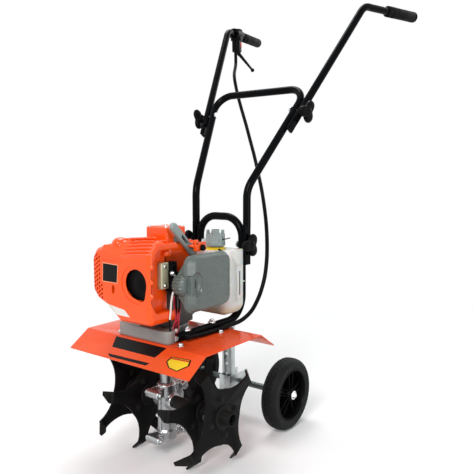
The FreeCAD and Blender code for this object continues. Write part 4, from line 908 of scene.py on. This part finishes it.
# ------------------------------------------------------------------ wheels
def make_wheel(side, sign):
    """Solid tyre, spoked rim and axle nut; sign is 1 on the left, +X, and -1 on the right."""
    body = f"wheel_{side}"
    centre = middle(f"tyre_{side}")
    axis = X * sign
    half = [(64.2, 15), (64.2, 18.5), (66, 20.2), (70, 20.9), (71.5, 20.3), (73, 20.9), (77, 20.8),
            (78, 20.0), (79.4, 20.4), (82.5, 18.9), (85.2, 16.4), (87.2, 13.2), (88.3, 9.6), (88.8, 6.4),
            (87.6, 5.6), (87.6, 4.4), (88.9, 3.6), (89.0, 1.2)]
    section = half + [(r, -h) for r, h in reversed(half)]

    def tread(angle, r, h):
        """Slanted grooves 1.3 mm deep, every 13 mm round the tread; the side walls are plain."""
        if r < 84.5 or abs(h) > 17:
            return 1
        wave = (angle * 89 / 13.0 + abs(h) * 0.055) % 1
        return 1 - (1.3 / r if wave < 0.16 else 0)

    tyre = build(f"tyre_{side}_tread", lathe(section, centre, axis, 430, closed=True, reach=tread))
    finish(tyre, body, "tyre", replaces=(f"tyre_{side}",), sharp=34)

    barrel = lathe([(58, -19), (64, -20), (64.4, -18.4), (62, -14), (61.4, 14), (64.4, 18.4), (64, 20),
                    (60.5, 20), (58.5, 16), (57.5, 4), (57, -12)], centre, axis, 96, closed=True)
    web = lathe([(0.1, -7), (58.5, -7), (58.5, -3.5), (0.1, -3.5)], centre, axis, 72)
    hub = lathe([(10, -21), (13.5, -20), (15, -4), (16.5, 0), (14, 15), (12, 18), (7, 18.4)],
                centre, axis, 40)
    pieces = [barrel, web, hub]
    side_way = axis.cross(Z).normalized()
    up = side_way.cross(axis)
    for k in range(5):
        angle = math.radians(96 + 72 * k)
        out = side_way * math.cos(angle) + up * math.sin(angle)
        across = axis.cross(out)

        def spot(r, w, h):
            return centre + (out * r + across * w + axis * h) / 1000

        # Each spoke is a flat bar between two ribs that spread outwards; it rises 5 mm to the hub.
        for wide, shift, low, high in ((13, 0, -4, 3), (2.4, 7.6, -4, 9), (2.4, -7.6, -4, 9)):
            rings = []
            for h, taper in ((low, 1), (high, 0.6)):
                near, far = wide * taper * 0.8 / 2, wide * taper / 2
                rings.append([spot(12, shift * 0.8 - near, h + 5), spot(59, shift * 1.3 - far, h),
                              spot(59, shift * 1.3 + far, h), spot(12, shift * 0.8 + near, h + 5)])
            pieces.append(loft(rings))
    rim = build(f"rim_{side}_spokes", *pieces)
    finish(rim, body, "black_plastic", replaces=(f"rim_{side}",), sharp=30)

    nut = f"axle_nut_{side}"
    low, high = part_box(nut)
    seat = middle(nut)
    reach = (high.x - low.x) * 500
    washer = [(11, -reach), (11, 1.6 - reach), (8, 2.0 - reach)]
    head = [(7.6, 1.5 - reach), (7.6, reach - 3), (6.4, reach - 1.6), (3.5, reach)]
    cap = build(f"axle_cap_{side}", lathe(washer, seat, axis, 28), lathe(head, seat, axis, 6))
    finish(cap, "machine", "chrome", replaces=(nut,))


# ------------------------------------------------------------------ handlebar
def make_knob(name):
    """Clamping knob: a hub with three full lobes and a domed boss."""
    axis = Vector(main_ways(name)[2])
    centre = middle(name)
    if (centre - AXIS).dot(axis) < 0 and abs(axis.x) > 0.5:
        axis = -axis

    def lobes(angle, r, h):
        waist, swell = 0.54, 0.46
        return waist + swell * (0.5 + 0.5 * math.cos(3 * angle)) ** 0.8

    disc = [(20, -3.5), (26.5, -2.5), (29.5, 0.5), (29.5, 5), (26.5, 8.8), (20, 10), (10, 10.2)]
    body = lathe(disc, centre, axis, 96, reach=lobes)
    boss = lathe([(11, -8), (12, 6), (11, 9.4), (7, 11.4), (2, 11.8)], centre, axis, 32)
    piece = build(name + "_lobes", body, boss)
    soften(piece, 0.8, 2)
    finish(piece, body_of(name), "black_plastic", replaces=(name,), sharp=60)


def make_handles():
    """Clamping knobs, throttle with its lever, stop switch and the foam grips."""
    for name in ("low_knob_left", "low_knob_right", "high_knob_left", "high_knob_right"):
        make_knob(name)
    housing = copy_of("throttle_grip_case", "throttle_housing")
    centre = middle("throttle_housing")
    for vert in housing.data.vertices:
        away = vert.co - centre
        vert.co = centre + Vector((away.x * 1.3, away.y * 1.2, away.z * 1.06))
    soften(housing, 0.8, 3)
    finish(housing, body_of("throttle_housing"), "black_plastic", replaces=("throttle_housing",), sharp=60)
    eased("stop_switch", 1.2, 3)
    centre, run, half, _ = long_axis("throttle_lever")
    if run.z > 0:
        run = -run
    half = half * 1000
    stem = [(4, -half), (6.4, -half + 2), (6.4, -half + 10), (5.2, -half + 18), (3.6, half - 14),
            (3.2, half - 8)]
    lever = build("throttle_blade", lathe(stem, centre, run, 24),
                  ball(centre + run * ((half - 4) / 1000), (6.2, 6.2, 6.2)))
    finish(lever, body_of("throttle_lever"), "black_plastic",
           replaces=("throttle_lever",))
    for side in ("left", "right"):
        name = f"grip_{side}"
        centre, run, half, r = long_axis(name)
        if run.y < 0:
            run = -run
        half, r = half * 1000, r * 1000
        profile = [(r * 0.72, -half), (r * 0.94, -half + 0.8), (r, -half + 2.5), (r, -half + 8)]
        for k in range(5):
            spot = -half + 10 + 3.2 * k
            profile += [(r * 0.95, spot), (r * 0.95, spot + 1.2), (r, spot + 1.7), (r, spot + 2.9)]
        profile += [(r * 0.985, 0), (r, half - 9), (r * 0.96, half - 7.5), (r * 0.96, half - 5.5),
                    (r, half - 4), (r * 0.97, half - 1.2), (r * 0.82, half)]
        tube = 9.8
        sleeve = profile + [(tube, half), (tube, -half)]
        end = [(r * 0.82, half - 3), (r * 0.80, half - 0.1), (r * 0.3, half)]
        grip = build(f"grip_{side}_foam", lathe(sleeve, centre, run, 56, closed=True),
                     lathe(end, centre, run, 40))
        finish(grip, body_of(name), "grip_foam", replaces=(name,), sharp=50)


def make_hitch():
    """Drag channel, its hanger and the wheel fork."""
    for name in ("drag_channel", "channel_hanger", "wheel_fork"):
        eased(name, 0.7)


# ------------------------------------------------------------------ stage
def make_camera():
    """Camera at the photograph's viewing angle."""
    data = bpy.data.cameras.new("camera")
    data.lens = 44.05
    data.sensor_width = 36
    camera = add_object("camera", data)
    camera.location = at(897.7, -923.0, 633.3)
    camera.rotation_euler = (math.radians(83.90), 0, math.radians(37.02))
    scene.camera = camera


def make_lamp(name, place, size, power, target=(0, 0, 0.4)):
    """Soft rectangular lamp: place, size and target in metres, power in watts."""
    data = bpy.data.lights.new(name, "AREA")
    data.shape = "RECTANGLE"
    data.size = size[0]
    data.size_y = size[1]
    data.energy = power
    lamp = add_object(name, data)
    lamp.location = place
    lamp.rotation_euler = (Vector(target) - Vector(place)).to_track_quat("-Z", "Y").to_euler()


def background_rays(tree):
    """1 for rays that show the background: straight, mirrored or through glass."""
    path = node(tree, "ShaderNodeLightPath")
    seen = path.outputs["Is Camera Ray"]
    for ray in ("Is Glossy Ray", "Is Transmission Ray"):
        either = node(tree, "ShaderNodeMath", operation="MAXIMUM")
        tree.links.new(seen, either.inputs[0])
        tree.links.new(path.outputs[ray], either.inputs[1])
        seen = either.outputs[0]
    return seen


def mix_shaders(tree, factor, first, second):
    mix = node(tree, "ShaderNodeMixShader")
    tree.links.new(factor, mix.inputs[0])
    tree.links.new(first, mix.inputs[1])
    tree.links.new(second, mix.inputs[2])
    return mix.outputs[0]


def make_world():
    """Soft pale light, and plain white where the background shows."""
    world = bpy.data.worlds.new("world")
    scene.world = world
    world.use_nodes = True
    tree = world.node_tree
    tree.nodes.clear()
    soft = node(tree, "ShaderNodeBackground", Color=(0.96, 0.98, 1.0, 1), Strength=0.30)
    white = node(tree, "ShaderNodeBackground", Color=(1, 1, 1, 1), Strength=1.0)
    output = node(tree, "ShaderNodeOutputWorld")
    shown = mix_shaders(tree, background_rays(tree), soft.outputs[0], white.outputs[0])
    tree.links.new(shown, output.inputs[0])


def make_floor():
    """Pale floor that keeps the shadow near the object and runs out into the white background."""
    mesh = bpy.data.meshes.new("floor")
    reach = 9.0
    corners = [(-reach, -reach, 0), (reach, -reach, 0), (reach, reach, 0), (-reach, reach, 0)]
    mesh.from_pydata(corners, [], [(0, 1, 2, 3)])
    floor = add_object("floor", mesh)
    material, tree, bsdf = shader("floor")
    bsdf.inputs["Base Color"].default_value = (0.86, 0.86, 0.86, 1)
    bsdf.inputs["Roughness"].default_value = 0.8
    bsdf.inputs["Specular IOR Level"].default_value = 0.1
    glow = node(tree, "ShaderNodeEmission", Color=(1, 1, 1, 1), Strength=0.05)
    white = node(tree, "ShaderNodeEmission", Color=(1, 1, 1, 1), Strength=1.0)
    lit = node(tree, "ShaderNodeAddShader")
    tree.links.new(bsdf.outputs[0], lit.inputs[0])
    tree.links.new(glow.outputs[0], lit.inputs[1])
    distance = node(tree, "ShaderNodeVectorMath", operation="LENGTH")
    tree.links.new(coordinates(tree), distance.inputs[0])
    far = spread(tree, distance.outputs["Value"], 0, 1, 0.65, 1.5, True)
    shown = mix_shaders(tree, far, lit.outputs[0], white.outputs[0])
    final = mix_shaders(tree, background_rays(tree), bsdf.outputs[0], shown)
    tree.links.new(final, tree.nodes["Material Output"].inputs["Surface"])
    floor.data.materials.append(material)


def make_lights():
    make_lamp("key", (0.9, -2.8, 2.1), (1.2, 1.2), 76)
    make_lamp("side", (2.3, -0.3, 0.5), (0.7, 1.0), 12, (0.1, -0.25, 0.4))
    make_lamp("fill", (-2.4, -1.4, 1.6), (2.0, 2.0), 9)
    make_lamp("top", (-0.7, 0.5, 2.9), (1.3, 1.3), 44)
    make_lamp("back", (0.4, 2.6, 1.8), (2.0, 1.6), 20)


make_camera()
make_world()
make_floor()
make_lights()
make_shroud()
make_engine()
make_pull_handle()
make_filter()
make_tank()
make_wiring()
make_deck()
make_drive()
make_tines()
make_wheel("left", 1)
make_wheel("right", -1)
make_handles()
make_hitch()
scene.view_settings.view_transform = "Standard"
